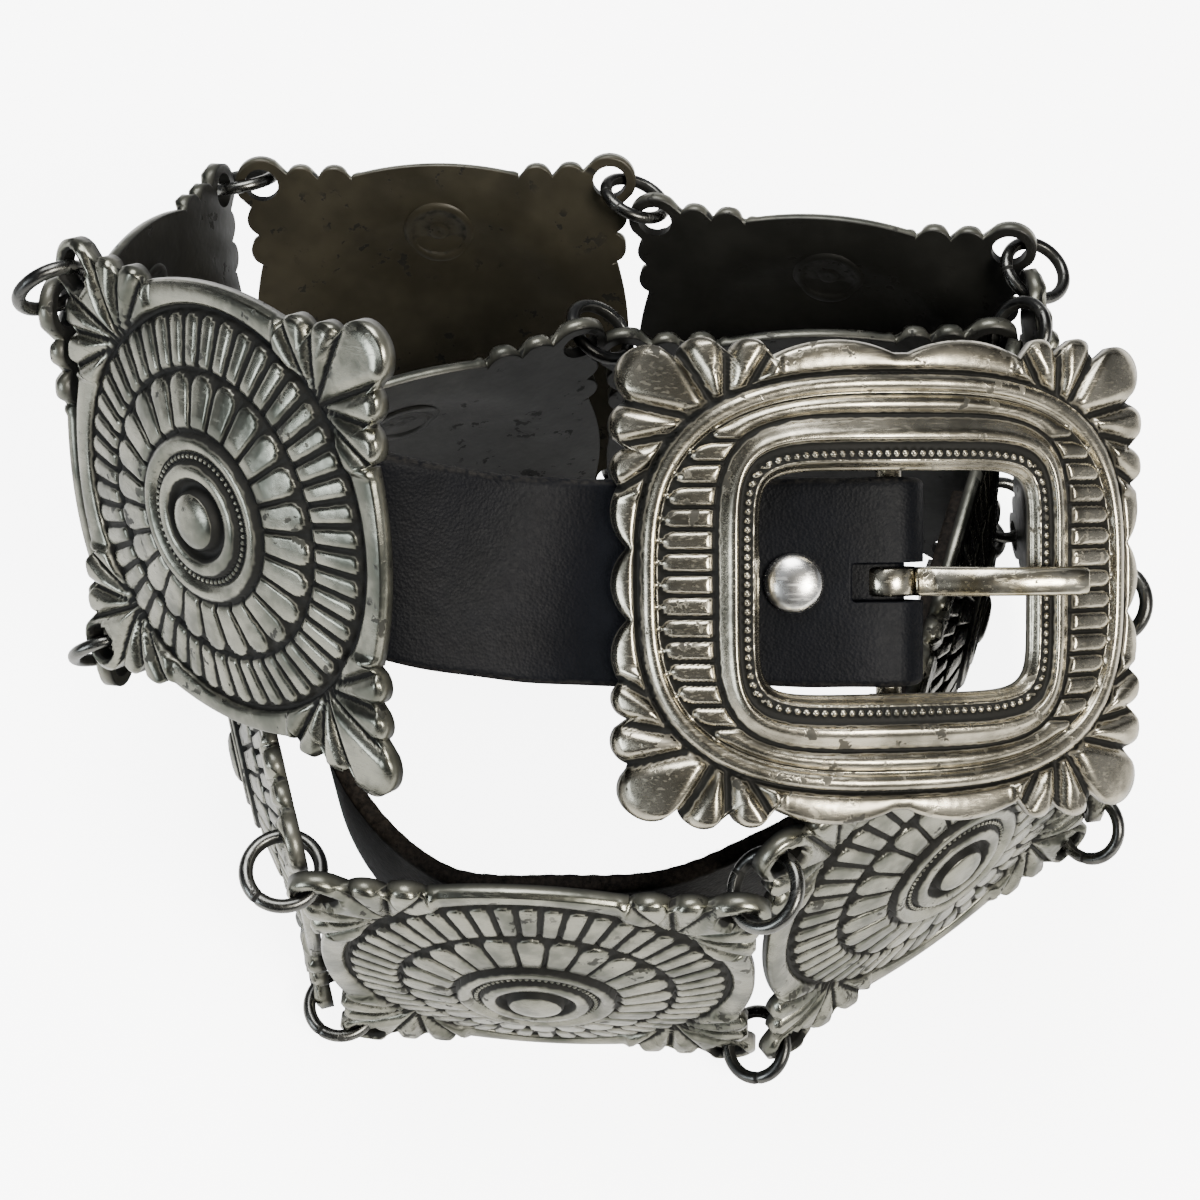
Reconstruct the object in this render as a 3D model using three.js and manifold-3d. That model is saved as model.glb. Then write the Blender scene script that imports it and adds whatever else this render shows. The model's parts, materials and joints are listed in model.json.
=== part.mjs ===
// A concho belt laid down in a coil: eleven cast conchos joined by pairs of jump rings,
// a leather strap that carries the buckle at one end and a leather tail at the other.
// Millimetres, +Z up. A concho's own axes are X along the belt, Y across it, Z outward.
import * as THREE from "three";
import { mergeVertices } from "three/addons/utils/BufferGeometryUtils.js";
import Module from "manifold-3d";

const wasm = await Module();
wasm.setup();

// Concho plate
const CONCHO_WIDTH = 56;
const CONCHO_HEIGHT = 55.5;
const PLATE_THICKNESS = 1.6;
const LOBE_RADIUS = 3.8;
const LOBE_INSET = 2.75;
const RING_HOLE_RADIUS = 2.5;
const RING_HOLE_SIDES = 8;

// Concho medallion: a domed centre with a raised boss, hollow behind
const MEDALLION_RADIUS = 24.6;
const MEDALLION_SIDES = 18;
const BAND_RISE = 2.8;
const BOSS_RADIUS = 11;
const BOSS_STEP = 0.9;
const BUTTON_RADIUS = 4.4;
const BUTTON_RISE = 1.4;
const HOLLOW_RADIUS = 22;
const MEDALLION_WALL = 1.9;

// Jump rings
const RING_RADIUS = 4.5;
const RING_WIRE_RADIUS = 0.85;
const RING_SIDES = 12;
const RING_WIRE_SIDES = 5;

// Buckle frame
const BUCKLE_WIDTH = 66;
const BUCKLE_HEIGHT = 57;
const BUCKLE_BEND_RADIUS = 70;
const BUCKLE_RIM_THICKNESS = 1.6;
const WINDOW_WIDTH = 33;
const WINDOW_HEIGHT = 26;
const INNER_RIDGE_WIDTH = 3;
const INNER_RIDGE_RISE = 2.2;
const GROOVE_RISE = 1.1;
const OUTER_RIDGE_RISE = 1.5;
const BUCKLE_LOBE_RADIUS = 4.2;
const BAR_RADIUS = 1.5;
const BAR_DEPTH = 4;
const BAR_SIDES = 10;
const LUG_WIDTH = 5;
const LUG_LENGTH = 3.4;

// Leather
const STRAP_WIDTH = 24.5;
const STRAP_THICKNESS = 2.2;
const TAB_LENGTH = 24;
const SLOT_REACH = 5.5;
const EYE_STEP = 48;
const STRAP_HIDDEN_LENGTH = 16;
const TAIL_THICKNESS = 2.4;
const TAIL_TIP_LENGTH = 9;
const TAIL_HOLE_RADIUS = 2;
const TAIL_HOLE_COUNT = 4;
const TAIL_HOLE_SPACING = 19;
const TAIL_HOLE_FROM_TIP = 24;

// Prong, stud and rivets
const PRONG_WIDTH = 3.4;
const PRONG_THICKNESS = 2.7;
const PRONG_EYE_WALL = 1.3;
const PRONG_OVERHANG = 6;
const STUD_FROM_BAR = 12;
const STUD_RADIUS = 3.5;
const STUD_RISE = 1.6;
const SHANK_RADIUS = 1.5;
const FLANGE_RADIUS = 3.2;
const FLANGE_THICKNESS = 0.9;
const RIVET_FROM_MIDDLE = 4;
const PIN_SIDES = 10;

const CLEARANCE = 0.3;
const STRAP_CLEARANCE = 1.1;
const PRONG_CLEARANCE = 0.6;
const SLOT_CLEARANCE = 0.6;

// A quarter of a concho's edge, from the middle of a side to its corner lobe:
// along is the share of the half side, out the share of the half size outward.
const CONCHO_EDGE = [
  { along: 0.22, out: 0.98 },
  { along: 0.44, out: 0.93 },
  { along: 0.525, out: 0.985 },
  { along: 0.615, out: 0.95 },
  { along: 0.705, out: 0.995 },
  { along: 0.785, out: 0.955 },
];

// The buckle's edge in the same way, on its right side and along its top
const BUCKLE_SIDE_EDGE = [
  { along: 0.19, out: 0.975 },
  { along: 0.33, out: 0.985 },
  { along: 0.47, out: 0.925 },
  { along: 0.56, out: 0.955 },
  { along: 0.65, out: 0.905 },
];
const BUCKLE_TOP_EDGE = [
  { along: 0.0, out: 0.955 },
  { along: 0.27, out: 0.99 },
  { along: 0.5, out: 0.93 },
  { along: 0.6, out: 0.985 },
  { along: 0.7, out: 0.925 },
];

// The chain's route from the buckle end to the tail end. x and y place a concho's middle,
// yaw turns its face round from the front, lean tips its top outward, roll turns it in its
// plane. A concho with a height hangs there, and the others stand on the table plus lift.
const ROUTE = [
  { x: -45.3, y: -13.5, height: 76.6, yaw: -48.3, lean: -28, roll: 26.7 },
  { x: -60.6, y: 21.1, height: 45.2, yaw: -100.4, lean: 9.4, roll: 33.4 },
  { x: -23.8, y: 45.2, lift: 4.7, yaw: 180.2, lean: 27.9, roll: 0.1 },
  { x: 33.3, y: 39.3, lift: 0.4, yaw: 169.2, lean: 16.4, roll: -4.1 },
  { x: 64.5, y: 5.5, lift: 1.6, yaw: 95.2, lean: -5.7, roll: -11.7 },
  { x: 43.4, y: -39.6, lift: 6.6, yaw: 35.3, lean: -8.6, roll: -0.4 },
  { x: -8.5, y: -54.8, lift: 0.4, yaw: -3.8, lean: -0.3, roll: 2 },
  { x: -45.4, y: -22.7, lift: 0.2, yaw: -74.4, lean: -2.5, roll: 0.7 },
  { x: -26.9, y: 15.5, lift: 4.5, yaw: -160.7, lean: 1.3, roll: 0.9 },
  { x: 28.8, y: 25.3, lift: 0.2, yaw: 181.5, lean: 3.6, roll: -0.2 },
  { x: 49, y: -1.9, lift: 0.8, yaw: 71.6, lean: -3.9, roll: -0.8 },
];
const BUCKLE_PLACE = { x: 34.5, y: -24.9, height: 79.1, yaw: 20.5, lean: -56.5, roll: -16.9 };

// How far each joint's rings swing round the line between their holes, in degrees
const RING_SWING = {
  top: [-15, -14, 3, -5, 10, 0, 0, 0, 0, 50],
  low: [-5, 0, -10, 10, 20, -5, 0, 0, 0, -10],
};

// The tail strap's way inside the coil once it leaves the last concho, seen from above
const TAIL_ROUTE = [
  { x: 24.8, y: -39.1 },
  { x: 8.1, y: -46.2 },
  { x: -6.8, y: -46.6 },
  { x: -18.4, y: -46.4 },
  { x: -25.5, y: -42 },
  { x: -31.9, y: -34.6 },
  { x: -35.8, y: -27 },
  { x: -38.3, y: -14 },
];
const TAIL_HEIGHT = 28;
const TAIL_STATIONS = 22;
const TAIL_TURN_RATE = 3;
const BAND_STATIONS = 9;

const HOLE_X = CONCHO_WIDTH / 2 - LOBE_INSET;
const HOLE_Y = CONCHO_HEIGHT / 2 - LOBE_INSET;
const STRAP_BEHIND = PLATE_THICKNESS / 2 + CLEARANCE + STRAP_THICKNESS / 2;
const TAIL_BEHIND = PLATE_THICKNESS / 2 + CLEARANCE + TAIL_THICKNESS / 2;

// Materials

function makeMaterials() {
  const metal = (color, roughness) => new THREE.MeshStandardMaterial({ color, roughness, metalness: 1 });
  const leather = (color) => new THREE.MeshStandardMaterial({ color, roughness: 0.6, metalness: 0 });
  return {
    concho: metal(0x9a978c, 0.38),
    ring: metal(0x6e6c66, 0.42),
    buckle: metal(0xa8a294, 0.34),
    prong: metal(0xb0a690, 0.3),
    rivet: metal(0xb8b4a8, 0.35),
    strap: leather(0x14151a),
    tail: leather(0x1a1614),
  };
}

// Geometry helpers

function solidFromTriangles(points) {
  const geometry = new THREE.BufferGeometry();
  const numbers = points.flatMap((point) => [point.x, point.y, point.z]);
  geometry.setAttribute("position", new THREE.Float32BufferAttribute(numbers, 3));
  return mergeVertices(geometry, 1e-4);
}

function toManifold(geometry) {
  const bare = geometry.clone();
  bare.deleteAttribute("normal");
  bare.deleteAttribute("uv");
  const merged = mergeVertices(bare, 1e-4);
  return new wasm.Manifold(
    new wasm.Mesh({
      numProp: 3,
      vertProperties: new Float32Array(merged.attributes.position.array),
      triVerts: new Uint32Array(merged.index.array),
    }),
  );
}

function fromManifold(manifold) {
  const mesh = manifold.getMesh();
  const geometry = new THREE.BufferGeometry();
  geometry.setAttribute("position", new THREE.BufferAttribute(new Float32Array(mesh.vertProperties), 3));
  geometry.setIndex(new THREE.BufferAttribute(new Uint32Array(mesh.triVerts), 1));
  return geometry;
}

function cutAway(geometry, cutters) {
  let result = toManifold(geometry);
  for (const cutter of cutters) {
    result = result.subtract(toManifold(cutter));
  }
  return fromManifold(result);
}

function joinTo(geometry, pieces) {
  let result = toManifold(geometry);
  for (const piece of pieces) {
    result = result.add(toManifold(piece));
  }
  return fromManifold(result);
}

const at = (x, y, z) => new THREE.Vector3(x, y, z);

function placeMatrix(place, height) {
  const turn = new THREE.Matrix4().makeRotationZ(THREE.MathUtils.degToRad(place.yaw));
  turn.multiply(new THREE.Matrix4().makeRotationX(THREE.MathUtils.degToRad(90 + place.lean)));
  turn.multiply(new THREE.Matrix4().makeRotationZ(THREE.MathUtils.degToRad(place.roll)));
  return turn.setPosition(place.x, place.y, height);
}

const axisOf = (matrix, column) => new THREE.Vector3().setFromMatrixColumn(matrix, column);

// The corner radius of a polygon whose flat sides keep the given radius
const roundedOut = (radius, sides) => radius / Math.cos(Math.PI / sides);

function circleLoop(radius, sides, centreX = 0, centreY = 0, phase = 0) {
  const loop = [];
  for (let i = 0; i < sides; i += 1) {
    const angle = phase + (i / sides) * 2 * Math.PI;
    loop.push(new THREE.Vector2(centreX + radius * Math.cos(angle), centreY + radius * Math.sin(angle)));
  }
  return loop;
}

function signedArea(a, b, c) {
  return (b.x - a.x) * (c.y - a.y) - (c.x - a.x) * (b.y - a.y);
}

// Faces of a flat outline with holes, each as three numbers of the joined point list
function flatFaces(outline, holes) {
  const points = [outline, ...holes].flat();
  const faces = THREE.ShapeUtils.triangulateShape(outline.slice(), holes.map((hole) => hole.slice()));
  return faces.map(([a, b, c]) => (signedArea(points[a], points[b], points[c]) > 0 ? [a, b, c] : [a, c, b]));
}

// A level cap, facing up or down
function addCap(triangles, outline, holes, z, up) {
  const points = [outline, ...holes].flat();
  for (const [a, b, c] of flatFaces(outline, holes)) {
    const corners = up ? [a, b, c] : [a, c, b];
    corners.forEach((i) => triangles.push(at(points[i].x, points[i].y, z)));
  }
}

// Two triangles for each step between two loops of as many points; faces to the right of
// the loops' travel when the second loop lies above the first
function addStrip(triangles, lower, upper) {
  lower.forEach((start, i) => {
    const next = (i + 1) % lower.length;
    triangles.push(start, lower[next], upper[next], start, upper[next], upper[i]);
  });
}

function addFan(triangles, loop, apex) {
  loop.forEach((start, i) => triangles.push(start, loop[(i + 1) % loop.length], apex));
}

const lift = (loop, z) => loop.map((point) => at(point.x, point.y, z));

// A quarter outline mirrored to the whole, counter-clockwise from the middle of the right side
function mirrorQuarter(quarter) {
  const left = quarter.slice(0, -1).reverse().map((point) => new THREE.Vector2(-point.x, point.y));
  const upper = quarter.concat(left);
  const lower = upper.slice(1, -1).reverse().map((point) => new THREE.Vector2(point.x, -point.y));
  return upper.concat(lower);
}

function lobeArc(centreX, centreY, radius, fromDegrees, toDegrees, steps) {
  const arc = [];
  for (let i = 0; i <= steps; i += 1) {
    const angle = THREE.MathUtils.degToRad(fromDegrees + ((toDegrees - fromDegrees) * i) / steps);
    arc.push(new THREE.Vector2(centreX + radius * Math.cos(angle), centreY + radius * Math.sin(angle)));
  }
  return arc;
}

// Conchos

function conchoOutline() {
  const halfX = CONCHO_WIDTH / 2;
  const halfY = CONCHO_HEIGHT / 2;
  const side = CONCHO_EDGE.map((row) => new THREE.Vector2(row.out * halfX, row.along * halfY));
  const top = CONCHO_EDGE.map((row) => new THREE.Vector2(row.along * halfX, row.out * halfY)).reverse();
  const corner = lobeArc(HOLE_X, HOLE_Y, LOBE_RADIUS, -18, 108, 3);
  return mirrorQuarter([new THREE.Vector2(halfX, 0), ...side, ...corner, ...top, new THREE.Vector2(0, halfY)]);
}

// Height of the hollow's roof behind the medallion
function hollowRoof(radius) {
  const front = PLATE_THICKNESS / 2 + BAND_RISE;
  const middle = front - MEDALLION_WALL + BOSS_STEP;
  const shoulder = front - MEDALLION_WALL;
  return radius < BOSS_RADIUS ? middle - ((middle - shoulder) * radius) / BOSS_RADIUS : shoulder;
}

function conchoGeometry(ringSides) {
  const half = PLATE_THICKNESS / 2;
  const outline = conchoOutline();
  const holes = ringSides.flatMap((side) =>
    [1, -1].map((row) => circleLoop(RING_HOLE_RADIUS, RING_HOLE_SIDES, side * HOLE_X, row * HOLE_Y)),
  );
  const border = circleLoop(MEDALLION_RADIUS, MEDALLION_SIDES);
  const hollow = circleLoop(HOLLOW_RADIUS, MEDALLION_SIDES);
  const triangles = [];
  addCap(triangles, outline, [...holes, border], half, true);
  addCap(triangles, outline, [...holes, hollow], -half, false);
  addStrip(triangles, lift(outline, -half), lift(outline, half));
  for (const hole of holes) {
    const inward = hole.slice().reverse();
    addStrip(triangles, lift(inward, -half), lift(inward, half));
  }
  addMedallion(triangles, half);
  addHollow(triangles, half);
  return solidFromTriangles(triangles);
}

function addMedallion(triangles, half) {
  const bandTop = half + BAND_RISE;
  const bossTop = bandTop + BOSS_STEP;
  const rings = [
    { radius: MEDALLION_RADIUS, z: half },
    { radius: BOSS_RADIUS, z: bandTop },
    { radius: BOSS_RADIUS - BOSS_STEP, z: bossTop },
    { radius: BUTTON_RADIUS, z: bossTop },
    { radius: BUTTON_RADIUS - BOSS_STEP, z: bossTop + BUTTON_RISE * 0.8 },
  ].map((ring) => lift(circleLoop(ring.radius, MEDALLION_SIDES), ring.z));
  rings.slice(1).forEach((ring, i) => addStrip(triangles, rings[i], ring));
  addFan(triangles, rings[rings.length - 1], at(0, 0, bossTop + BUTTON_RISE));
}

function addHollow(triangles, half) {
  const rings = [
    lift(circleLoop(HOLLOW_RADIUS, MEDALLION_SIDES), -half),
    lift(circleLoop(BOSS_RADIUS, MEDALLION_SIDES), hollowRoof(BOSS_RADIUS)),
  ].map((ring) => ring.reverse());
  addStrip(triangles, rings[0], rings[1]);
  addFan(triangles, rings[1], at(0, 0, hollowRoof(0)));
}

function conchoPlaces() {
  const outline = conchoOutline();
  return ROUTE.map((row) => {
    if (row.height !== undefined) {
      return placeMatrix(row, row.height);
    }
    const turned = placeMatrix(row, 0);
    const lowest = Math.min(
      ...outline.flatMap((point) =>
        [-1, 1].map((face) => at(point.x, point.y, (face * PLATE_THICKNESS) / 2).applyMatrix4(turned).z),
      ),
    );
    return placeMatrix(row, row.lift - lowest);
  });
}

// Jump rings: each stands across the gap between two lobes, its wire through both holes

function ringMatrix(matrixA, matrixB, row, swing) {
  const holeA = at(-HOLE_X, row * HOLE_Y, 0).applyMatrix4(matrixA);
  const holeB = at(HOLE_X, row * HOLE_Y, 0).applyMatrix4(matrixB);
  const across = holeB.clone().sub(holeA);
  const halfSpan = across.length() / 2;
  across.normalize();
  const outward = axisOf(matrixA, 2).add(axisOf(matrixB, 2));
  outward.addScaledVector(across, -outward.dot(across)).normalize();
  outward.applyAxisAngle(across, THREE.MathUtils.degToRad(swing));
  const middle = holeA.add(holeB).multiplyScalar(0.5);
  middle.addScaledVector(outward, Math.sqrt(Math.max(RING_RADIUS ** 2 - halfSpan ** 2, 0)));
  const axle = new THREE.Vector3().crossVectors(across, outward);
  return new THREE.Matrix4().makeBasis(across, outward, axle).setPosition(middle);
}

function ringGeometry() {
  const torus = new THREE.TorusGeometry(RING_RADIUS, RING_WIRE_RADIUS, RING_WIRE_SIDES, RING_SIDES);
  torus.deleteAttribute("normal");
  torus.deleteAttribute("uv");
  return mergeVertices(torus, 1e-4);
}

// Buckle frame

function buckleOutline() {
  const halfX = BUCKLE_WIDTH / 2;
  const halfY = BUCKLE_HEIGHT / 2;
  const side = BUCKLE_SIDE_EDGE.map((row) => new THREE.Vector2(row.out * halfX, row.along * halfY));
  const top = BUCKLE_TOP_EDGE.map((row) => new THREE.Vector2(row.along * halfX, row.out * halfY)).reverse();
  const cornerX = halfX - BUCKLE_LOBE_RADIUS * 1.45;
  const cornerY = halfY - BUCKLE_LOBE_RADIUS * 1.25;
  const corner = lobeArc(cornerX, cornerY, BUCKLE_LOBE_RADIUS, -25, 110, 3);
  return mirrorQuarter([new THREE.Vector2(halfX, 0), ...side, ...corner, ...top]);
}

// A rounded rectangle seen from each outline point, so that every loop has as many points
function frameLoop(outline, halfX, halfY, squareness) {
  return outline.map((point) => {
    const size = (Math.abs(point.x / halfX) ** squareness + Math.abs(point.y / halfY) ** squareness) ** (1 / squareness);
    return new THREE.Vector2(point.x / size, point.y / size);
  });
}

const bendDrop = (x) => (x * x) / (2 * BUCKLE_BEND_RADIUS);

const bend = (loop, z) => loop.map((point) => at(point.x, point.y, z - bendDrop(point.x)));

function buckleGeometry() {
  const half = BUCKLE_RIM_THICKNESS / 2;
  const outline = buckleOutline();
  const windowX = WINDOW_WIDTH / 2;
  const windowY = WINDOW_HEIGHT / 2;
  const outerX = BUCKLE_WIDTH / 2;
  const outerY = BUCKLE_HEIGHT / 2;
  const opening = frameLoop(outline, windowX, windowY, 7);
  const crest = frameLoop(outline, windowX + INNER_RIDGE_WIDTH, windowY + INNER_RIDGE_WIDTH, 5);
  const groove = frameLoop(outline, windowX + INNER_RIDGE_WIDTH * 1.8, windowY + INNER_RIDGE_WIDTH * 1.7, 4);
  const ridge = frameLoop(outline, outerX * 0.9, outerY * 0.85, 2.7);
  const loops = [
    bend(opening, -half),
    bend(outline, -half),
    bend(outline, half),
    bend(ridge, half + OUTER_RIDGE_RISE),
    bend(groove, half + GROOVE_RISE),
    bend(crest, half + INNER_RIDGE_RISE),
    bend(opening, half),
  ];
  const triangles = [];
  loops.forEach((loop, i) => addStrip(triangles, loop, loops[(i + 1) % loops.length]));
  return joinTo(solidFromTriangles(triangles), [barGeometry(), lugGeometry(1), lugGeometry(-1)]);
}

function barGeometry() {
  const length = WINDOW_HEIGHT + LUG_LENGTH;
  return new THREE.CylinderGeometry(BAR_RADIUS, BAR_RADIUS, length, BAR_SIDES).translate(0, 0, -BAR_DEPTH);
}

function lugGeometry(side) {
  const depth = BAR_DEPTH + BAR_RADIUS;
  const lug = new THREE.BoxGeometry(LUG_WIDTH, LUG_LENGTH, depth);
  const y = side * (WINDOW_HEIGHT / 2 + LUG_LENGTH / 2 + CLEARANCE);
  return lug.translate(0, y, -depth / 2 - CLEARANCE);
}

// Ruled pieces: a side outline carried across a width. Each station has its flat place for
// the triangulation, its middle point in space, the direction across and half the width.
// Loops and faces hold the stations' numbers.

function upward(stations, [a, b, c]) {
  const turned = signedArea(stations[a].flat, stations[b].flat, stations[c].flat) > 0;
  return turned ? [a, b, c] : [a, c, b];
}

// Faces between two rows of stations that lie in pairs
function ladderFaces(stations, pairs) {
  const faces = [];
  pairs.slice(1).forEach(([c, d], i) => {
    const [a, b] = pairs[i];
    faces.push([a, c, d], [a, d, b]);
  });
  return faces.map((face) => upward(stations, face));
}

// Faces of a level part of the side, inside one loop of stations and outside another
function levelFaces(stations, loop, hole) {
  const numbers = [...loop, ...hole];
  const flat = (list) => list.map((i) => stations[i].flat);
  return flatFaces(flat(loop), [flat(hole)]).map((face) => face.map((i) => numbers[i]));
}

function ruledGeometry(stations, loops, faces) {
  const edge = (i, side) => stations[i].middle.clone().addScaledVector(stations[i].across, side * stations[i].half);
  const triangles = [];
  for (const [a, b, c] of faces) {
    triangles.push(edge(a, -1), edge(b, -1), edge(c, -1));
    triangles.push(edge(a, 1), edge(c, 1), edge(b, 1));
  }
  for (const loop of loops) {
    loop.forEach((i, step) => {
      const next = loop[(step + 1) % loop.length];
      triangles.push(edge(i, -1), edge(i, 1), edge(next, 1));
      triangles.push(edge(i, -1), edge(next, 1), edge(next, -1));
    });
  }
  return solidFromTriangles(triangles);
}

const numbersFrom = (start, count) => Array.from({ length: count }, (_, i) => start + i);

// Buckle strap, in the buckle's own axes: it hugs the frame's back, folds round the bar and
// comes back under itself as a short tab

const frameBack = (x) => -BUCKLE_RIM_THICKNESS / 2 - bendDrop(x);

function strapTop(x) {
  const edge = WINDOW_WIDTH / 2;
  const low = frameBack(edge) - STRAP_CLEARANCE;
  if (-x >= edge) {
    return frameBack(x) - STRAP_CLEARANCE;
  }
  const share = -x / edge;
  const slope = (-edge * edge) / BUCKLE_BEND_RADIUS;
  const start = -BAR_DEPTH + BAR_RADIUS + CLEARANCE + STRAP_THICKNESS;
  const rise = 3 * share ** 2 - 2 * share ** 3;
  return start + (low - start) * rise + slope * (share ** 3 - share ** 2);
}

// Stations of the strap's middle surface from the bar leftwards to the first concho's back
function strapSpine(buckle, concho) {
  const spine = [];
  const ownX = [0, 0.26, 0.52, 0.77, 1, 1.3, 1.6].map((share) => (-share * WINDOW_WIDTH) / 2);
  ownX.push(-BUCKLE_WIDTH / 2);
  const across = axisOf(buckle, 1);
  ownX.forEach((x) => {
    const slope = (strapTop(x + 0.1) - strapTop(x - 0.1)) / 0.2;
    const normal = at(-slope, 0, 1).normalize();
    const middle = at(x, 0, strapTop(x)).addScaledVector(normal, -STRAP_THICKNESS / 2);
    const flat = new THREE.Vector2(middle.x, middle.z);
    spine.push({
      flat,
      flatNormal: new THREE.Vector2(normal.x, normal.z),
      middle: middle.applyMatrix4(buckle),
      normal: normal.transformDirection(buckle),
      across,
    });
  });
  spine.push(...strapBand(spine[spine.length - 1], concho));
  return spine;
}

// The free stretch between the frame and the concho, one smooth bend, and its hidden end
function strapBand(start, concho) {
  const endX = RIVET_FROM_MIDDLE + STRAP_HIDDEN_LENGTH / 2;
  const endPoint = at(endX, 0, -STRAP_BEHIND).applyMatrix4(concho);
  const endTravel = axisOf(concho, 0).negate();
  const travel = new THREE.Vector3().crossVectors(start.normal, start.across);
  if (travel.dot(endTravel) < 0) {
    travel.negate();
  }
  const reach = start.middle.distanceTo(endPoint) * 0.4;
  const curve = new THREE.CubicBezierCurve3(
    start.middle,
    start.middle.clone().addScaledVector(travel, reach),
    endPoint.clone().addScaledVector(endTravel, -reach),
    endPoint,
  );
  const flatTravel = new THREE.Vector2(-start.flatNormal.y, start.flatNormal.x);
  const length = curve.getLength();
  const stations = [];
  for (let i = 1; i <= BAND_STATIONS; i += 1) {
    const share = i / BAND_STATIONS;
    const tangent = curve.getTangentAt(share);
    const across = start.across.clone().lerp(axisOf(concho, 1), share);
    across.addScaledVector(tangent, -across.dot(tangent)).normalize();
    stations.push({
      flat: start.flat.clone().addScaledVector(flatTravel, length * share),
      flatNormal: start.flatNormal,
      middle: curve.getPointAt(share),
      normal: new THREE.Vector3().crossVectors(across, tangent),
      across,
    });
  }
  const last = stations[stations.length - 1];
  const hidden = STRAP_HIDDEN_LENGTH;
  stations.push({
    ...last,
    flat: last.flat.clone().addScaledVector(flatTravel, hidden),
    middle: last.middle.clone().addScaledVector(endTravel, hidden),
  });
  return stations;
}

function offsetStation(station, distance, half) {
  return {
    flat: station.flat.clone().addScaledVector(station.flatNormal, distance),
    middle: station.middle.clone().addScaledVector(station.normal, distance),
    across: station.across,
    half,
  };
}

// A station on a circle round the bar
function foldStation(buckle, radius, degrees) {
  const angle = THREE.MathUtils.degToRad(degrees);
  const x = radius * Math.cos(angle);
  const z = -BAR_DEPTH + radius * Math.sin(angle);
  return {
    flat: new THREE.Vector2(x, z),
    middle: at(x, 0, z).applyMatrix4(buckle),
    across: axisOf(buckle, 1),
    half: STRAP_WIDTH / 2,
  };
}

function strapGeometry(buckle, concho) {
  const half = STRAP_WIDTH / 2;
  const layer = STRAP_THICKNESS / 2;
  const spine = strapSpine(buckle, concho);
  const underTab = spine.filter((station, i) => i > 1 && station.flat.x > -TAB_LENGTH);
  const free = underTab.length + 2;
  const top = spine.slice(1).map((station) => offsetStation(station, layer, half));
  const below = spine.slice(free).map((station) => offsetStation(station, -layer, half));
  const tabEnd = underTab[underTab.length - 1];
  const tab = underTab.map((station) => offsetStation(station, -3 * layer, half));
  const outerRadius = BAR_RADIUS + CLEARANCE + STRAP_THICKNESS;
  const fold = [-90, -60, -30, 0, 30, 60, 90].map((degrees) => foldStation(buckle, outerRadius, degrees));
  const rest = [offsetStation(tabEnd, -layer, half), ...tab.reverse(), ...fold];
  const eyeRadius = (BAR_RADIUS + CLEARANCE) / Math.cos(THREE.MathUtils.degToRad(EYE_STEP / 2));
  const eye = [2, 1, 0, -1, -2].map((step) => foldStation(buckle, eyeRadius, step * EYE_STEP));
  eye.push(offsetStation(spine[2], -layer, half));
  const stations = [...top, ...below.reverse(), ...rest, ...eye];
  const belowEnd = top.length + below.length - 1;
  const contour = numbersFrom(0, stations.length - eye.length);
  const hole = numbersFrom(contour.length, eye.length);
  const pairs = below.map((_, i) => [free - 1 + i, belowEnd - i]);
  const level = [...numbersFrom(0, free), ...numbersFrom(belowEnd, rest.length + 1)];
  const faces = [...levelFaces(stations, level, hole), ...ladderFaces(stations, pairs)];
  const cutters = [slotCutter(buckle), pinCutter(studMatrix(buckle)), pinCutter(rivetMatrix(concho, STRAP_BEHIND))];
  return cutAway(ruledGeometry(stations, [contour, hole], faces), cutters);
}

function slotCutter(buckle) {
  const outerRadius = BAR_RADIUS + CLEARANCE + STRAP_THICKNESS;
  const length = SLOT_REACH + 2 * outerRadius;
  const slot = new THREE.BoxGeometry(length, PRONG_WIDTH + 2 * SLOT_CLEARANCE, 4 * outerRadius);
  return slot.translate(length / 2 - SLOT_REACH, 0, -BAR_DEPTH).applyMatrix4(buckle);
}

function pinCutter(matrix) {
  const depth = 8 * STRAP_THICKNESS;
  const radius = roundedOut(SHANK_RADIUS + CLEARANCE, PIN_SIDES);
  const pin = new THREE.CylinderGeometry(radius, radius, depth, PIN_SIDES);
  return pin.rotateX(Math.PI / 2).applyMatrix4(matrix);
}

// Prong: an eye round the bar and an arm that rests on the frame's right side

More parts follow.
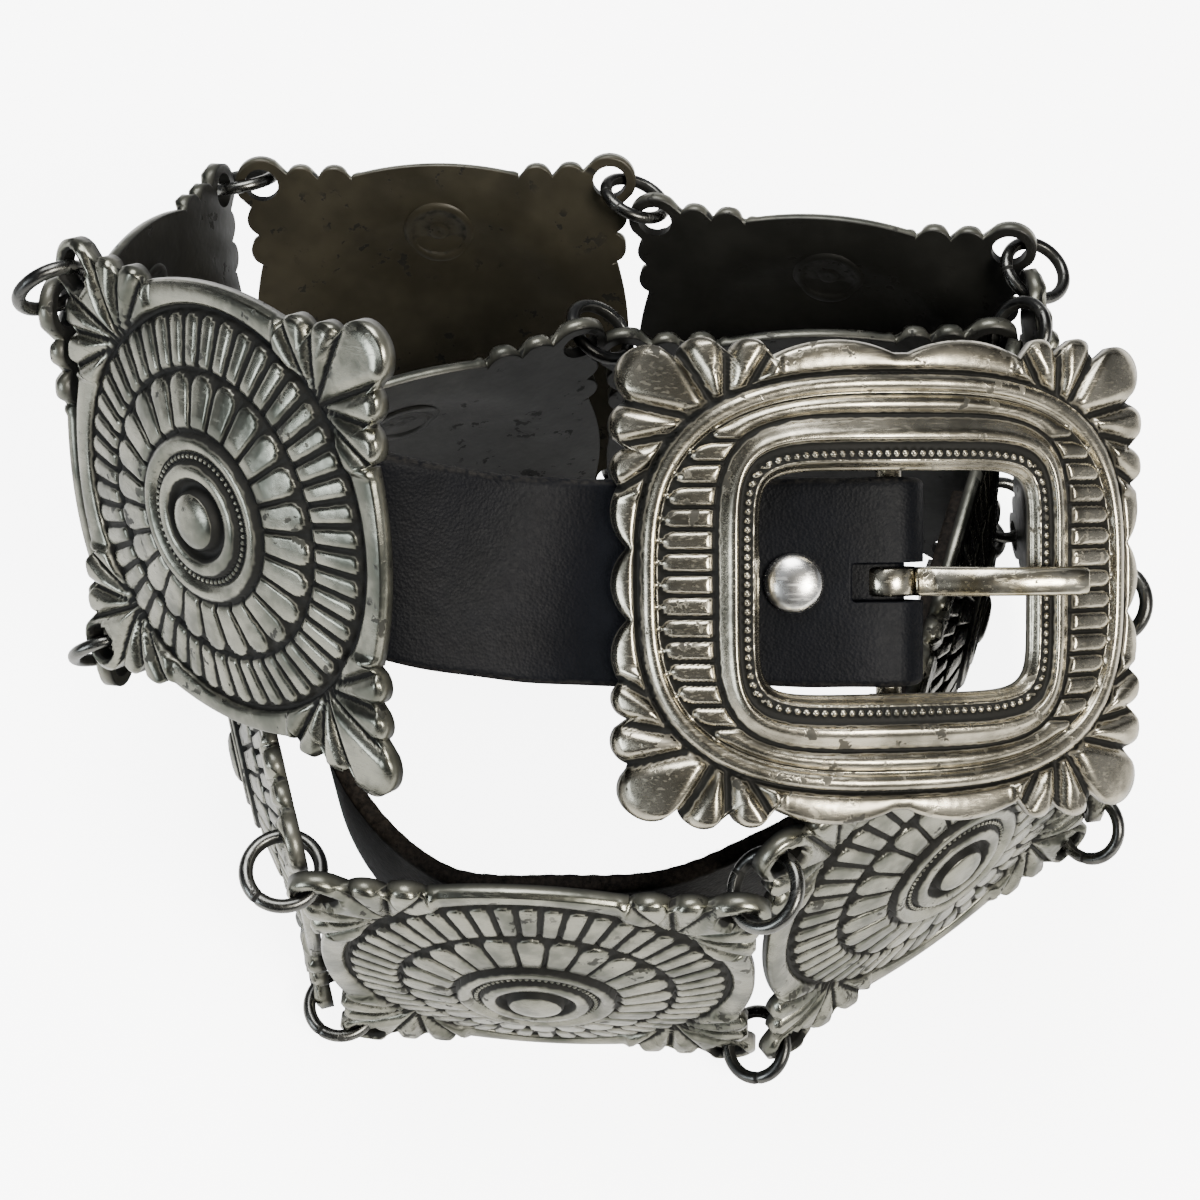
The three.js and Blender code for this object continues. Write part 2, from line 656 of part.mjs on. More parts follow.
function prongGeometry() {
  const inner = roundedOut(BAR_RADIUS + CLEARANCE, BAR_SIDES);
  const outer = inner + PRONG_EYE_WALL;
  const edge = WINDOW_WIDTH / 2;
  const crestX = edge + INNER_RIDGE_WIDTH;
  const crestZ = BUCKLE_RIM_THICKNESS / 2 + INNER_RIDGE_RISE - bendDrop(crestX);
  const seat = crestZ + PRONG_CLEARANCE;
  const tipX = edge + PRONG_OVERHANG;
  const shape = new THREE.Shape();
  shape.moveTo(outer * 0.94, -BAR_DEPTH + outer * 0.34);
  shape.lineTo(edge * 0.4, seat - PRONG_THICKNESS * 0.75);
  shape.lineTo(edge * 0.68, seat - PRONG_THICKNESS * 0.1);
  shape.lineTo(crestX, seat);
  shape.lineTo(tipX - 0.4, seat - 0.15);
  shape.lineTo(tipX, seat + PRONG_THICKNESS * 0.45);
  shape.lineTo(tipX - 1.2, seat + PRONG_THICKNESS * 0.9);
  shape.lineTo(edge * 0.85, seat + PRONG_THICKNESS);
  shape.lineTo(edge * 0.35, seat + PRONG_THICKNESS * 0.5);
  for (const degrees of [75, 105, 140, 180, 220, 260, 300, 340]) {
    const angle = THREE.MathUtils.degToRad(degrees);
    shape.lineTo(outer * Math.cos(angle), -BAR_DEPTH + outer * Math.sin(angle));
  }
  const eye = new THREE.Path();
  circleLoop(inner, BAR_SIDES, 0, -BAR_DEPTH).reverse().forEach((point, i) => {
    if (i === 0) {
      eye.moveTo(point.x, point.y);
    } else {
      eye.lineTo(point.x, point.y);
    }
  });
  shape.holes.push(eye);
  const extruded = new THREE.ExtrudeGeometry(shape, { depth: PRONG_WIDTH, bevelEnabled: false });
  return extruded.translate(0, 0, -PRONG_WIDTH / 2).rotateX(Math.PI / 2);
}

// Stud and rivets, turned about their own Z, which points out of the belt's face

function studMatrix(buckle) {
  const x = -STUD_FROM_BAR;
  const slope = (strapTop(x + 0.1) - strapTop(x - 0.1)) / 0.2;
  const tilt = new THREE.Matrix4().makeRotationY(-Math.atan(slope)).setPosition(x, 0, strapTop(x));
  return buckle.clone().multiply(tilt);
}

function studGeometry() {
  const top = CLEARANCE;
  const under = -2 * STRAP_THICKNESS - CLEARANCE;
  return new THREE.LatheGeometry(
    [
      new THREE.Vector2(0, under - FLANGE_THICKNESS),
      new THREE.Vector2(FLANGE_RADIUS, under - FLANGE_THICKNESS),
      new THREE.Vector2(FLANGE_RADIUS, under),
      new THREE.Vector2(SHANK_RADIUS, under),
      new THREE.Vector2(SHANK_RADIUS, top),
      new THREE.Vector2(STUD_RADIUS, top),
      new THREE.Vector2(STUD_RADIUS * 0.72, top + STUD_RISE * 0.72),
      new THREE.Vector2(0, top + STUD_RISE),
    ],
    PIN_SIDES,
  ).rotateX(Math.PI / 2);
}

function rivetMatrix(concho, behind) {
  return concho.clone().multiply(new THREE.Matrix4().makeTranslation(RIVET_FROM_MIDDLE, 0, -behind));
}

// A post under the medallion's hollow, through the leather, with a flange behind it
function rivetGeometry(behind, thickness) {
  const top = hollowRoof(RIVET_FROM_MIDDLE + SHANK_RADIUS) - CLEARANCE + behind;
  const under = -thickness / 2 - CLEARANCE;
  return new THREE.LatheGeometry(
    [
      new THREE.Vector2(0, under - FLANGE_THICKNESS),
      new THREE.Vector2(FLANGE_RADIUS, under - FLANGE_THICKNESS),
      new THREE.Vector2(FLANGE_RADIUS, under),
      new THREE.Vector2(SHANK_RADIUS, under),
      new THREE.Vector2(SHANK_RADIUS, top),
      new THREE.Vector2(0, top),
    ],
    PIN_SIDES,
  ).rotateX(Math.PI / 2);
}

// Tail strap

function tailStations(concho) {
  const behind = (x) => at(x, 0, -TAIL_BEHIND).applyMatrix4(concho);
  const held = CONCHO_WIDTH / 2;
  const points = [0.45, 0, -0.5, -0.9, -1.08, -1.25].map((share) => behind(held * share));
  TAIL_ROUTE.forEach((point) => points.push(at(point.x, point.y, TAIL_HEIGHT)));
  const curve = new THREE.CatmullRomCurve3(points, false, "centripetal");
  const length = curve.getLength();
  const stations = [];
  for (let i = 0; i <= TAIL_STATIONS; i += 1) {
    const share = i / TAIL_STATIONS;
    const tangent = curve.getTangentAt(share);
    const across = axisOf(concho, 1).lerp(at(0, 0, 1), Math.min(Math.max(share * TAIL_TURN_RATE - 1.1, 0), 1));
    across.addScaledVector(tangent, -across.dot(tangent)).normalize();
    const fromTip = Math.min((length * (1 - share)) / TAIL_TIP_LENGTH, 1);
    stations.push({
      flat: new THREE.Vector2(length * share, 0),
      flatNormal: new THREE.Vector2(0, 1),
      middle: curve.getPointAt(share),
      normal: new THREE.Vector3().crossVectors(tangent, across),
      across,
      half: (STRAP_WIDTH / 2) * (0.35 + 0.65 * Math.sqrt(fromTip)),
    });
  }
  return { stations, curve, length };
}

function tailGeometry(concho) {
  const { stations, curve, length } = tailStations(concho);
  const side = (sign) => stations.map((station) => {
    return offsetStation(station, (sign * TAIL_THICKNESS) / 2, station.half);
  });
  const rows = [...side(-1), ...side(1).reverse()];
  const pairs = stations.map((_, i) => [i, rows.length - 1 - i]);
  const faces = ladderFaces(rows, pairs);
  const cutters = [pinCutter(rivetMatrix(concho, TAIL_BEHIND))];
  for (let i = 0; i < TAIL_HOLE_COUNT; i += 1) {
    const share = 1 - (TAIL_HOLE_FROM_TIP + i * TAIL_HOLE_SPACING) / length;
    cutters.push(tailHoleCutter(curve, share));
  }
  return cutAway(ruledGeometry(rows, [numbersFrom(0, rows.length)], faces), cutters);
}

function tailHoleCutter(curve, share) {
  const depth = 3 * TAIL_THICKNESS;
  const hole = new THREE.CylinderGeometry(TAIL_HOLE_RADIUS, TAIL_HOLE_RADIUS, depth, RING_HOLE_SIDES);
  const tangent = curve.getTangentAt(share);
  const normal = new THREE.Vector3().crossVectors(tangent, at(0, 0, 1)).normalize();
  const along = new THREE.Vector3().crossVectors(tangent, normal);
  const place = new THREE.Matrix4().makeBasis(tangent, normal, along);
  return hole.applyMatrix4(place.setPosition(curve.getPointAt(share)));
}

// Assembly

function addNode(group, name, geometry, material, matrix) {
  const mesh = new THREE.Mesh(geometry, material);
  mesh.name = name;
  if (matrix) {
    mesh.applyMatrix4(matrix);
  }
  group.add(mesh);
}

const padded = (number) => String(number).padStart(2, "0");

function addChain(group, places, material) {
  places.forEach((place, i) => {
    const ringSides = [];
    if (i > 0) {
      ringSides.push(1);
    }
    if (i < places.length - 1) {
      ringSides.push(-1);
    }
    addNode(group, `concho_${padded(i + 1)}`, conchoGeometry(ringSides), material.concho.clone(), place);
  });
  places.slice(1).forEach((place, i) => {
    for (const [row, word] of [[1, "top"], [-1, "low"]]) {
      const name = `ring_${padded(i + 1)}_${word}`;
      const matrix = ringMatrix(places[i], place, row, RING_SWING[word][i]);
      addNode(group, name, ringGeometry(), material.ring.clone(), matrix);
    }
  });
}

function addBuckleEnd(group, buckle, concho, material) {
  addNode(group, "buckle_frame", buckleGeometry(), material.buckle, buckle);
  addNode(group, "prong", prongGeometry(), material.prong, buckle);
  addNode(group, "buckle_strap", strapGeometry(buckle, concho), material.strap);
  addNode(group, "strap_stud", studGeometry(), material.rivet, studMatrix(buckle));
  const rivet = rivetGeometry(STRAP_BEHIND, STRAP_THICKNESS);
  addNode(group, "strap_rivet", rivet, material.rivet.clone(), rivetMatrix(concho, STRAP_BEHIND));
}

function addTailEnd(group, concho, material) {
  addNode(group, "tail_strap", tailGeometry(concho), material.tail);
  const rivet = rivetGeometry(TAIL_BEHIND, TAIL_THICKNESS);
  addNode(group, "tail_rivet", rivet, material.rivet.clone(), rivetMatrix(concho, TAIL_BEHIND));
}

// The finished belt, its box's bottom centre moved to the origin
function makeBelt() {
  const belt = new THREE.Group();
  const material = makeMaterials();
  const places = conchoPlaces();
  const buckle = placeMatrix(BUCKLE_PLACE, BUCKLE_PLACE.height);
  addChain(belt, places, material);
  addBuckleEnd(belt, buckle, places[0], material);
  addTailEnd(belt, places[places.length - 1], material);
  belt.updateMatrixWorld(true);
  const box = new THREE.Box3().setFromObject(belt, true);
  const middle = box.getCenter(new THREE.Vector3());
  belt.position.set(-middle.x, -middle.y, -box.min.z);
  const group = new THREE.Group();
  group.add(belt);
  return group;
}

const group = makeBelt();

export default group;
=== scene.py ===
"""A concho belt in a loose coil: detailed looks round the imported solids, in metres."""

import json
import math

import bmesh
import bpy
import numpy as np
from mathutils import Matrix, Vector


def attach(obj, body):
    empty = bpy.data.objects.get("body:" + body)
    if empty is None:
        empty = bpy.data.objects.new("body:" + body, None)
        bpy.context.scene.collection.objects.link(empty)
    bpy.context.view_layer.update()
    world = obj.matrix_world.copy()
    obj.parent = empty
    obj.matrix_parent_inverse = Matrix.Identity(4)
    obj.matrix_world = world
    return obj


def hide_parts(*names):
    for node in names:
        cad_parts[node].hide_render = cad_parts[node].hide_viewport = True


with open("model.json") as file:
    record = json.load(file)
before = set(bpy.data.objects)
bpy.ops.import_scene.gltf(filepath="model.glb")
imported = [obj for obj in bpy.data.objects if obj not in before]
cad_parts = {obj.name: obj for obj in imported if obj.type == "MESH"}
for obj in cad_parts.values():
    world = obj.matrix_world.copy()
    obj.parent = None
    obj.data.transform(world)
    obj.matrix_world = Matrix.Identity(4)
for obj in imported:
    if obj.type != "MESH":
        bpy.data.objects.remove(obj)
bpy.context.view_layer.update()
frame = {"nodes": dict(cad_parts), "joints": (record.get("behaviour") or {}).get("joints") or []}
MM = 0.001

# Concho sizes in millimetres, as in the solids
HALF_W, HALF_H = 28.0, 27.75
HOLE_X, HOLE_Y, HOLE_R = 25.25, 25.0, 2.45
BODY_HALF = 25.4
CORNER_LOBE_R = 3.8
SIDE_LOBES = ((14.7, 24.9, 2.5), (19.55, 25.1, 2.45))
WIDE_SHIFT = 0.25
ARC_R, ARC_END = 45.3, 12.3
RIM = 0.8
BORDER_R = 25.1
DOME_R, DOME_SPAN, DOME_RISE = 24.6, 13.6, 2.8
# Rows of petals as inner radius, outer radius and number
PETAL_ROWS = ((18.0, 24.35, 48), (10.75, 17.55, 24))
PETAL_TOP, PETAL_RECESS = 0.15, -0.4
RIM_GROOVE_R = 24.75
ROW_GROOVES = ((17.75, 0.3), (10.5, 0.35))
FAN_APEX = (17.75, 17.6)
FAN_NOTCHES = ((12.3, 26.5), (17.1, 26.8), (22.1, 27.2))
# Outer radii of the boss's steps: raised ring, beads, inner ring, pit, button
BOSS_R, BEADS_R, INNER_RING_R, PIT_R, BUTTON_R = 10.35, 8.32, 7.25, 4.75, 3.65
BEAD_COUNT, BEAD_ROW_R = 60, 7.75
HOLLOW_R, HOLLOW_SLOPE = 22.4, 8.5
SPOT_Y = 16.9

# How finely the concho is divided
AROUND = 336
OUTER_STEPS = 21
HOLE_SIDES = 28
SPOT_SIDES = 48
FRONT_RADII = (
    1.2, 2.4, 3.2, 3.6, 3.8, 4.7, 4.85, 5.5, 6.5, 7.1, 7.35, 7.6, 7.9, 8.15, 8.35, 8.8, 9.6, 10.2,
    10.45, 10.9, 11.5, 12.8, 14.2, 15.3, 16.1, 16.7, 17.15, 17.45, 17.8, 18.2, 18.8, 20.2, 21.6,
    22.6, 23.2, 23.7, 24.1, 24.45, 24.75, BORDER_R,
)
REAR_SHARES = (1.0, 0.97, 0.9, 0.84, 0.78, 0.72, 0.66, 0.6, 0.54, 0.3, 0.0)
REAR_RADII = (HOLLOW_R, 19.5, 16.5, 12.5, 7, 2)
SPOT_RADII = (5.2, 4.9, 4.6, 4.3, 4.0, 3.6, 2.8, 2.0, 1.6, 1.3, 0.8, 0.2)

# Buckle sizes
BUCKLE_W, BEND_R = 33.0, 70.0
WINDOW_W, WINDOW_H, WINDOW_POWER = 16.5, 13.0, 8
BAR_DEPTH, BAR_R = 4.0, 1.5
BUCKLE_LOBES = ((28.7, 24.2, 3.5), (22.9, 25.8, 2.7), (17.6, 26.0, 2.3), (30.1, 18.5, 2.8), (30.4, 13.5, 2.4))
BUCKLE_NOTCHES = ((15.0, 27.2), (20.2, 28.0), (25.7, 27.6), (32.3, 21.3), (32.6, 16.0), (32.0, 11.0))
# Ovals from the outside in, as half width, half height and power, with the steps between them
RIDGE, FOOT, RIM_OVAL, CREST, STEP = (
    (30.0, 24.2, 3.0),
    (28.0, 22.0, 3.0),
    (21.6, 19.4, 4.5),
    (19.9, 17.2, 5.5),
    (18.8, 15.9, 6),
)
BUCKLE_STEPS = (20, 8, 16, 6, 6, 12)
BUCKLE_REAR = (0, 0.03, 0.2, 0.4, 0.6, 0.8, 0.97, 1)
BUCKLE_AROUND = 640
BUCKLE_PETAL = 2.55
BUCKLE_BEAD = 1.05

# Leather sizes
STRAP_HALF, STRAP_HALF_THICK = 12.25, 1.1
TAIL_HALF_THICK = 1.15
TAIL_STEPS = 170
UP = np.array([0, 0, 1.0])


def smooth(x):
    x = np.clip(x, 0, 1)
    return x * x * (3 - 2 * x)


def bump(x, width):
    return np.exp(-((x / width) ** 2))


# Mesh building


def new_object(name, points, faces, values=None):
    mesh = bpy.data.meshes.new(name)
    mesh.from_pydata((np.asarray(points) * MM).tolist(), [], [list(map(int, f)) for f in faces])
    for key, data in (values or {}).items():
        layer = mesh.attributes.new(key, "FLOAT", "POINT")
        layer.data.foreach_set("value", np.asarray(data, np.float32))
    mesh.validate()
    mesh.polygons.foreach_set("use_smooth", [True] * len(mesh.polygons))
    mesh.update()
    item = bpy.data.objects.new(name, mesh)
    bpy.context.scene.collection.objects.link(item)
    return item


def ring_faces(rows, count):
    """Quads between consecutive closed rows of vertex numbers."""
    i = np.arange(count)
    j = (i + 1) % count
    parts = [np.stack([a[i], a[j], b[j], b[i]], 1) for a, b in zip(rows[:-1], rows[1:])]
    return np.concatenate(parts)


def matrix_of(x_axis, y_axis, z_axis, place):
    return Matrix(
        (
            (x_axis[0], y_axis[0], z_axis[0], place[0]),
            (x_axis[1], y_axis[1], z_axis[1], place[1]),
            (x_axis[2], y_axis[2], z_axis[2], place[2]),
            (0, 0, 0, 1),
        )
    )


def node_points(node):
    mesh = frame["nodes"][node].data
    co = np.empty(len(mesh.vertices) * 3)
    mesh.vertices.foreach_get("co", co)
    return co.reshape(-1, 3)


def unit(v):
    return v / np.linalg.norm(v)


def flat_normal(node):
    """The direction of the node's largest level face, which is a concho's back rim."""
    sums = {}
    for face in frame["nodes"][node].data.polygons:
        key = tuple(round(c, 2) for c in face.normal)
        area, total = sums.get(key, (0.0, np.zeros(3)))
        sums[key] = (area + face.area, total + np.array(face.normal) * face.area)
    return unit(max(sums.values(), key=lambda pair: pair[0])[1])


def corner_means(points, centre, normal, share):
    """The middles of the groups of points that lie farthest out, by quadrant."""
    up = unit(UP - normal * normal[2])
    side = np.cross(up, normal)
    flat = points - centre
    a, b = flat @ side, flat @ up
    reach = np.hypot(a, b)
    far = reach > reach.max() * share
    angle = np.arctan2(b, a)
    order = np.argsort(angle[far])
    pts, ang = points[far][order], angle[far][order]
    cuts = np.argsort(np.diff(np.r_[ang, ang[0] + 2 * np.pi]))[-4:] + 1
    groups = np.split(np.roll(pts, -cuts.min(), axis=0), np.sort(cuts - cuts.min())[1:])
    return [g.mean(0) for g in groups]


def concho_frame(node):
    points = node_points(node)
    outward = -flat_normal(node)
    low, high = points.min(0), points.max(0)
    corners = corner_means(points, (low + high) / 2, outward, 0.985)
    centre = np.mean(corners, 0)
    arms = sorted((c - centre for c in corners), key=lambda v: -(v @ UP))
    side = unit(np.cross(UP, outward))
    tops = sorted(arms[:2], key=lambda v: v @ side)
    y_axis = tops[0] + tops[1]
    x_axis = tops[1] - tops[0]
    y_axis = unit(y_axis - outward * (y_axis @ outward))
    x_axis = unit(x_axis - outward * (x_axis @ outward))
    depth = (points @ outward).min() + RIM * MM
    centre = centre + outward * (depth - centre @ outward)
    return matrix_of(x_axis, y_axis, outward, centre)


# Concho


def widened(reach, dx, dy, lobes):
    """The reach along each direction, pushed out to the far side of every lobe it meets."""
    for cx, cy, r in lobes:
        along = dx * cx + dy * cy
        miss = r * r - (cx * cx + cy * cy - along**2)
        reach = np.where(miss > 0, np.maximum(reach, along + np.sqrt(np.maximum(miss, 0))), reach)
    return reach


def concho_edge(angle):
    """How far the lobed edge lies from the middle at each angle."""
    dx, dy = np.cos(angle), np.sin(angle)
    reach = BODY_HALF / np.maximum(np.maximum(abs(dx), abs(dy)), 1e-9)
    lobes = []
    for sx in (1, -1):
        for sy in (1, -1):
            lobes.append((sx * HOLE_X, sy * HOLE_Y, CORNER_LOBE_R))
            for along, out, r in SIDE_LOBES:
                lobes.append((sx * along, sy * out, r))
                lobes.append((sx * (out + WIDE_SHIFT), sy * along, r))
    reach = widened(reach, dx, dy, lobes)
    for half, toward, beside in ((HALF_H, dy, dx), (HALF_W, dx, dy)):
        middle = half - ARC_R
        for sign in (1, -1):
            along = toward * middle * sign
            far = along + np.sqrt(np.maximum(ARC_R**2 - middle**2 + along**2, 0))
            ok = (abs(far * beside) < ARC_END) & (sign * toward > 0)
            reach = np.where(ok, np.maximum(reach, far), reach)
    return reach


def petal_row(x, y, inner, outer, count):
    """Raised petals with rounded outer ends: their height over the dome, the shade and the zone."""
    top, recess = PETAL_TOP, PETAL_RECESS
    r = np.hypot(x, y)
    turn = np.arctan2(y, x) * count / (2 * np.pi)
    off = abs(turn - np.round(turn)) * 2 * np.pi / count * r
    half = r * np.pi / count - 0.14
    end = outer - half * 0.95
    cap = np.sqrt(np.clip(1 - (np.maximum(r - end, 0) / (outer - end)) ** 2, 0, 1))
    inside = np.minimum(half * cap - off, (r - inner) * 0.8)
    rise = smooth(inside / 0.24)
    crown = 0.14 * np.sqrt(np.clip(inside / np.maximum(half, 0.1), 0, 1))
    zone = (r > inner) & (r < outer + 0.3)
    return recess + (top - recess) * rise + crown * rise, 1 - rise, zone


def segment_distance(x, y, x0, y0, x1, y1):
    dx, dy = x1 - x0, y1 - y0
    t = np.clip(((x - x0) * dx + (y - y0) * dy) / (dx * dx + dy * dy), 0, 1)
    return np.hypot(x - x0 - t * dx, y - y0 - t * dy)


def swell(r, middle, half):
    """A round hump from 0 at its edges to 1 at its middle."""
    return np.sqrt(np.clip(1 - ((r - middle) / half) ** 2, 0, 1))


def concho_front(x, y, holes):
    r = np.hypot(x, y)
    dome = RIM + DOME_RISE * np.clip((DOME_R - r) / DOME_SPAN, 0, 1) ** 0.92
    z = np.full_like(r, RIM)
    dark = np.zeros_like(r)
    # plain border, swelling a little between the groove and the edge
    edge = concho_edge(np.arctan2(y, x))
    part = np.clip((r - BORDER_R) / np.maximum(edge - BORDER_R, 0.5), 0, 1)
    z += 0.35 * np.sin(np.pi * part) ** 0.7
    # fans in the four corners
    ax, ay = abs(x), abs(y)
    near = np.full_like(r, 9.0)
    for nx, ny in FAN_NOTCHES:
        for px, py in ((nx, ny), (ny + 0.2, nx)):
            start = FAN_APEX[0] + (px - 20) * 0.1, FAN_APEX[1] + (py - 20) * 0.1
            near = np.minimum(near, segment_distance(ax, ay, *start, px, py))
    in_fan = smooth((np.minimum(ax, ay) - 10.6) / 1.2) * smooth((r - 24.9) / 0.6)
    z += in_fan * (0.75 * smooth(near / 1.5) - 0.1)
    groove = bump(near, 0.3) * in_fan
    z -= 0.55 * groove
    dark = np.maximum(dark, groove)
    # medallion
    z = np.where(r < 24.9, dome - 0.1, z)
    rim_groove = bump(r - RIM_GROOVE_R, 0.45)
    z -= 0.75 * rim_groove
    dark = np.maximum(dark, rim_groove)
    for inner, outer, count in PETAL_ROWS:
        height, shade, zone = petal_row(x, y, inner, outer, count)
        z = np.where(zone, dome + height, z)
        dark = np.where(zone, np.maximum(dark, shade), dark)
    for radius, width in ROW_GROOVES:
        ring = bump(r - radius, width)
        z -= 0.35 * ring
        dark = np.maximum(dark, ring)
    # boss: raised ring, beaded groove, inner ring, dark groove, button
    z = np.where(r < BOSS_R, 3.62 + 0.85 * swell(r, 9.35, 1.05), z)
    turn = np.arctan2(y, x) * BEAD_COUNT / (2 * np.pi)
    bead = np.hypot((turn - np.round(turn)) * 2 * np.pi / BEAD_COUNT * r, r - BEAD_ROW_R)
    z = np.where(r < BEADS_R, 3.75 + 0.5 * swell(bead, 0, 0.36), z)
    dark = np.where(r < BEADS_R, smooth((bead - 0.2) / 0.2), dark)
    z = np.where(r < INNER_RING_R, 3.85 + 1.05 * swell(r, 6.0, 1.25), z)
    dark = np.where(r < INNER_RING_R, smooth((abs(r - 6.0) - 0.85) / 0.4), dark)
    z = np.where(r < PIT_R, 3.7, z)
    dark = np.where(r < PIT_R, 1, dark)
    z = np.where(r < BUTTON_R, 4.55 + 1.3 * swell(r, 0, 3.7) - 0.25 * bump(r, 1.2), z)
    dark = np.where(r < BUTTON_R, smooth((r - 3.3) / 0.3), dark)
    # rounded outer edge
    z -= 0.45 * smooth((part - 0.9) / 0.1)
    for sx in holes:
        for sy in (1, -1):
            lip = np.hypot(x - sx * HOLE_X, y - sy * HOLE_Y)
            z += 0.15 * bump(lip - 3.1, 0.5)
            dark = np.maximum(dark, 0.8 * bump(lip - 2.4, 0.4))
    return z, dark


def concho_back(x, y):
    r = np.hypot(x, y)
    roof = 1.7 + 0.9 * np.clip(1 - r / 11, 0, 1)
    return -RIM + (roof + RIM) * smooth((HOLLOW_R - r) / HOLLOW_SLOPE), np.zeros_like(r)


def back_spot():
    """The round dished mark near the top of each concho's back, as its own fine patch."""
    turn = np.arange(SPOT_SIDES) * 2 * np.pi / SPOT_SIDES
    points, shade, rows = [], [], []
    for k, q in enumerate(SPOT_RADII):
        x, y = q * np.cos(turn), SPOT_Y + q * np.sin(turn)
        z = concho_back(x, y)[0] - 0.22 + 0.2 * (q > 5) - 0.12 * bump(q - 4.3, 0.35)
        z = z + 0.14 * smooth((4.0 - q) / 0.5) - 0.2 * smooth((1.7 - q) / 0.4)
        tone = 0.3 * bump(q - 3.9, 0.35) + 0.16 * (q < 4) + 0.2 * bump(q - 1.7, 0.3)
        points.append(np.stack([x, y, z], 1))
        shade.append(np.full(SPOT_SIDES, tone))
        rows.append(np.arange(SPOT_SIDES) + k * SPOT_SIDES)
    return np.concatenate(points), np.concatenate(shade), ring_faces(rows, SPOT_SIDES)


def make_concho(name, holes):
    """The front, its finer lobed border, the back, the holes' walls and the back's round mark."""
    even = np.arange(AROUND) * 2 * np.pi / AROUND
    spans = ((0, 21, 15), (21, 69, 113), (69, 90, 15))
    quarter = np.concatenate([np.linspace(*span)[:-1] for span in spans])
    fine = np.radians(np.concatenate([quarter + 90 * k for k in range(4)]))
    edge = concho_edge(fine)
    outer = np.r_[np.linspace(0, 0.9, OUTER_STEPS - 4), 0.945, 0.975, 1.0]
    xyz, dark, rear, blocks = [], [], [], []

    def add_block(angle, rows, side):
        first = sum(len(part) for part in xyz)
        for radius in rows:
            x, y = radius * np.cos(angle), radius * np.sin(angle)
            z, shade = concho_front(x, y, holes) if side > 0 else concho_back(x, y)
            xyz.append(np.stack([x, y, z], 1))
            dark.append(shade)
            rear.append(np.full(len(angle), 0.0 if side > 0 else 1.0))
        n = len(angle)
        blocks.append([np.arange(n) + first + k * n for k in range(len(rows))])

    back_inner = [np.full(len(fine), q) for q in REAR_RADII]
    add_block(even, [np.full(AROUND, q) for q in FRONT_RADII], 1)
    add_block(fine, [BORDER_R + (edge - BORDER_R) * q for q in outer], 1)
    add_block(fine, [BORDER_R + (edge - BORDER_R) * q for q in REAR_SHARES] + back_inner, -1)
    points = np.concatenate(xyz)
    shade, behind = np.concatenate(dark), np.concatenate(rear)
    faces = [ring_faces(rows, len(rows[0])) for rows in blocks]
    faces.append(ring_faces([blocks[1][-1], blocks[2][0]], len(fine)))
    faces = np.concatenate(faces)
    extra = []
    for sx in holes:
        for sy in (1, -1):
            hx, hy = sx * HOLE_X, sy * HOLE_Y
            middle = points[faces].mean(1)
            rim_face = np.ptp(behind[faces], axis=1) > 0
            cut_out = (np.hypot(middle[:, 0] - hx, middle[:, 1] - hy) < 2.4) & ~rim_face
            removed, faces = faces[cut_out], faces[~cut_out]
            edges = np.concatenate([removed[:, [k, (k + 1) % 4]] for k in range(4)])
            keys = set(map(tuple, edges.tolist()))
            ids = np.unique(np.array([e for e in keys if (e[1], e[0]) not in keys]))
            away = points[ids, :2] - (hx, hy)
            points[ids, :2] = (hx, hy) + away / np.linalg.norm(away, axis=1)[:, None] * HOLE_R
            points[ids, 2] = np.where(behind[ids] > 0, -RIM, 0.85)
            turn = np.arange(HOLE_SIDES) * 2 * np.pi / HOLE_SIDES
            wall = np.arange(HOLE_SIDES) + len(points)
            for z in (0.86, -RIM - 0.01):
                wx, wy = hx + (HOLE_R - 0.02) * np.cos(turn), hy + (HOLE_R - 0.02) * np.sin(turn)
                points = np.concatenate([points, np.stack([wx, wy, np.full(HOLE_SIDES, z)], 1)])
            shade = np.r_[shade, np.full(2 * HOLE_SIDES, 0.7)]
            behind = np.r_[behind, np.zeros(2 * HOLE_SIDES)]
            extra += [tuple(f) for f in ring_faces([wall, wall + HOLE_SIDES], HOLE_SIDES)]
    spot_points, spot_shade, spot_faces = back_spot()
    extra += [tuple(f) for f in spot_faces + len(points)]
    points = np.concatenate([points, spot_points])
    shade, behind = np.r_[shade, spot_shade], np.r_[behind, np.ones(len(spot_shade))]
    centre = len(points)
    top = concho_front(np.zeros(1), np.zeros(1), holes)[0][0]
    points = np.concatenate([points, [[0, 0, top], [0, 0, 2.6]]])
    shade, behind = np.r_[shade, 0, 0], np.r_[behind, 0, 1]
    front, last = blocks[0][0], blocks[2][-1]
    extra += [(front[k], front[(k + 1) % AROUND], centre) for k in range(AROUND)]
    extra += [(last[(k + 1) % len(fine)], last[k], centre + 1) for k in range(len(fine))]
    all_faces = [f[::-1] for f in faces.tolist()] + extra
    return new_object(name, points, all_faces, {"dark": shade, "rear": behind})


# Rings


def ring_frame(node):
    points = node_points(node)
    centre = points.mean(0)
    _, _, axes = np.linalg.svd(points - centre)
    x_axis, y_axis = axes[0], axes[1]
    return matrix_of(x_axis, y_axis, np.cross(x_axis, y_axis), centre)


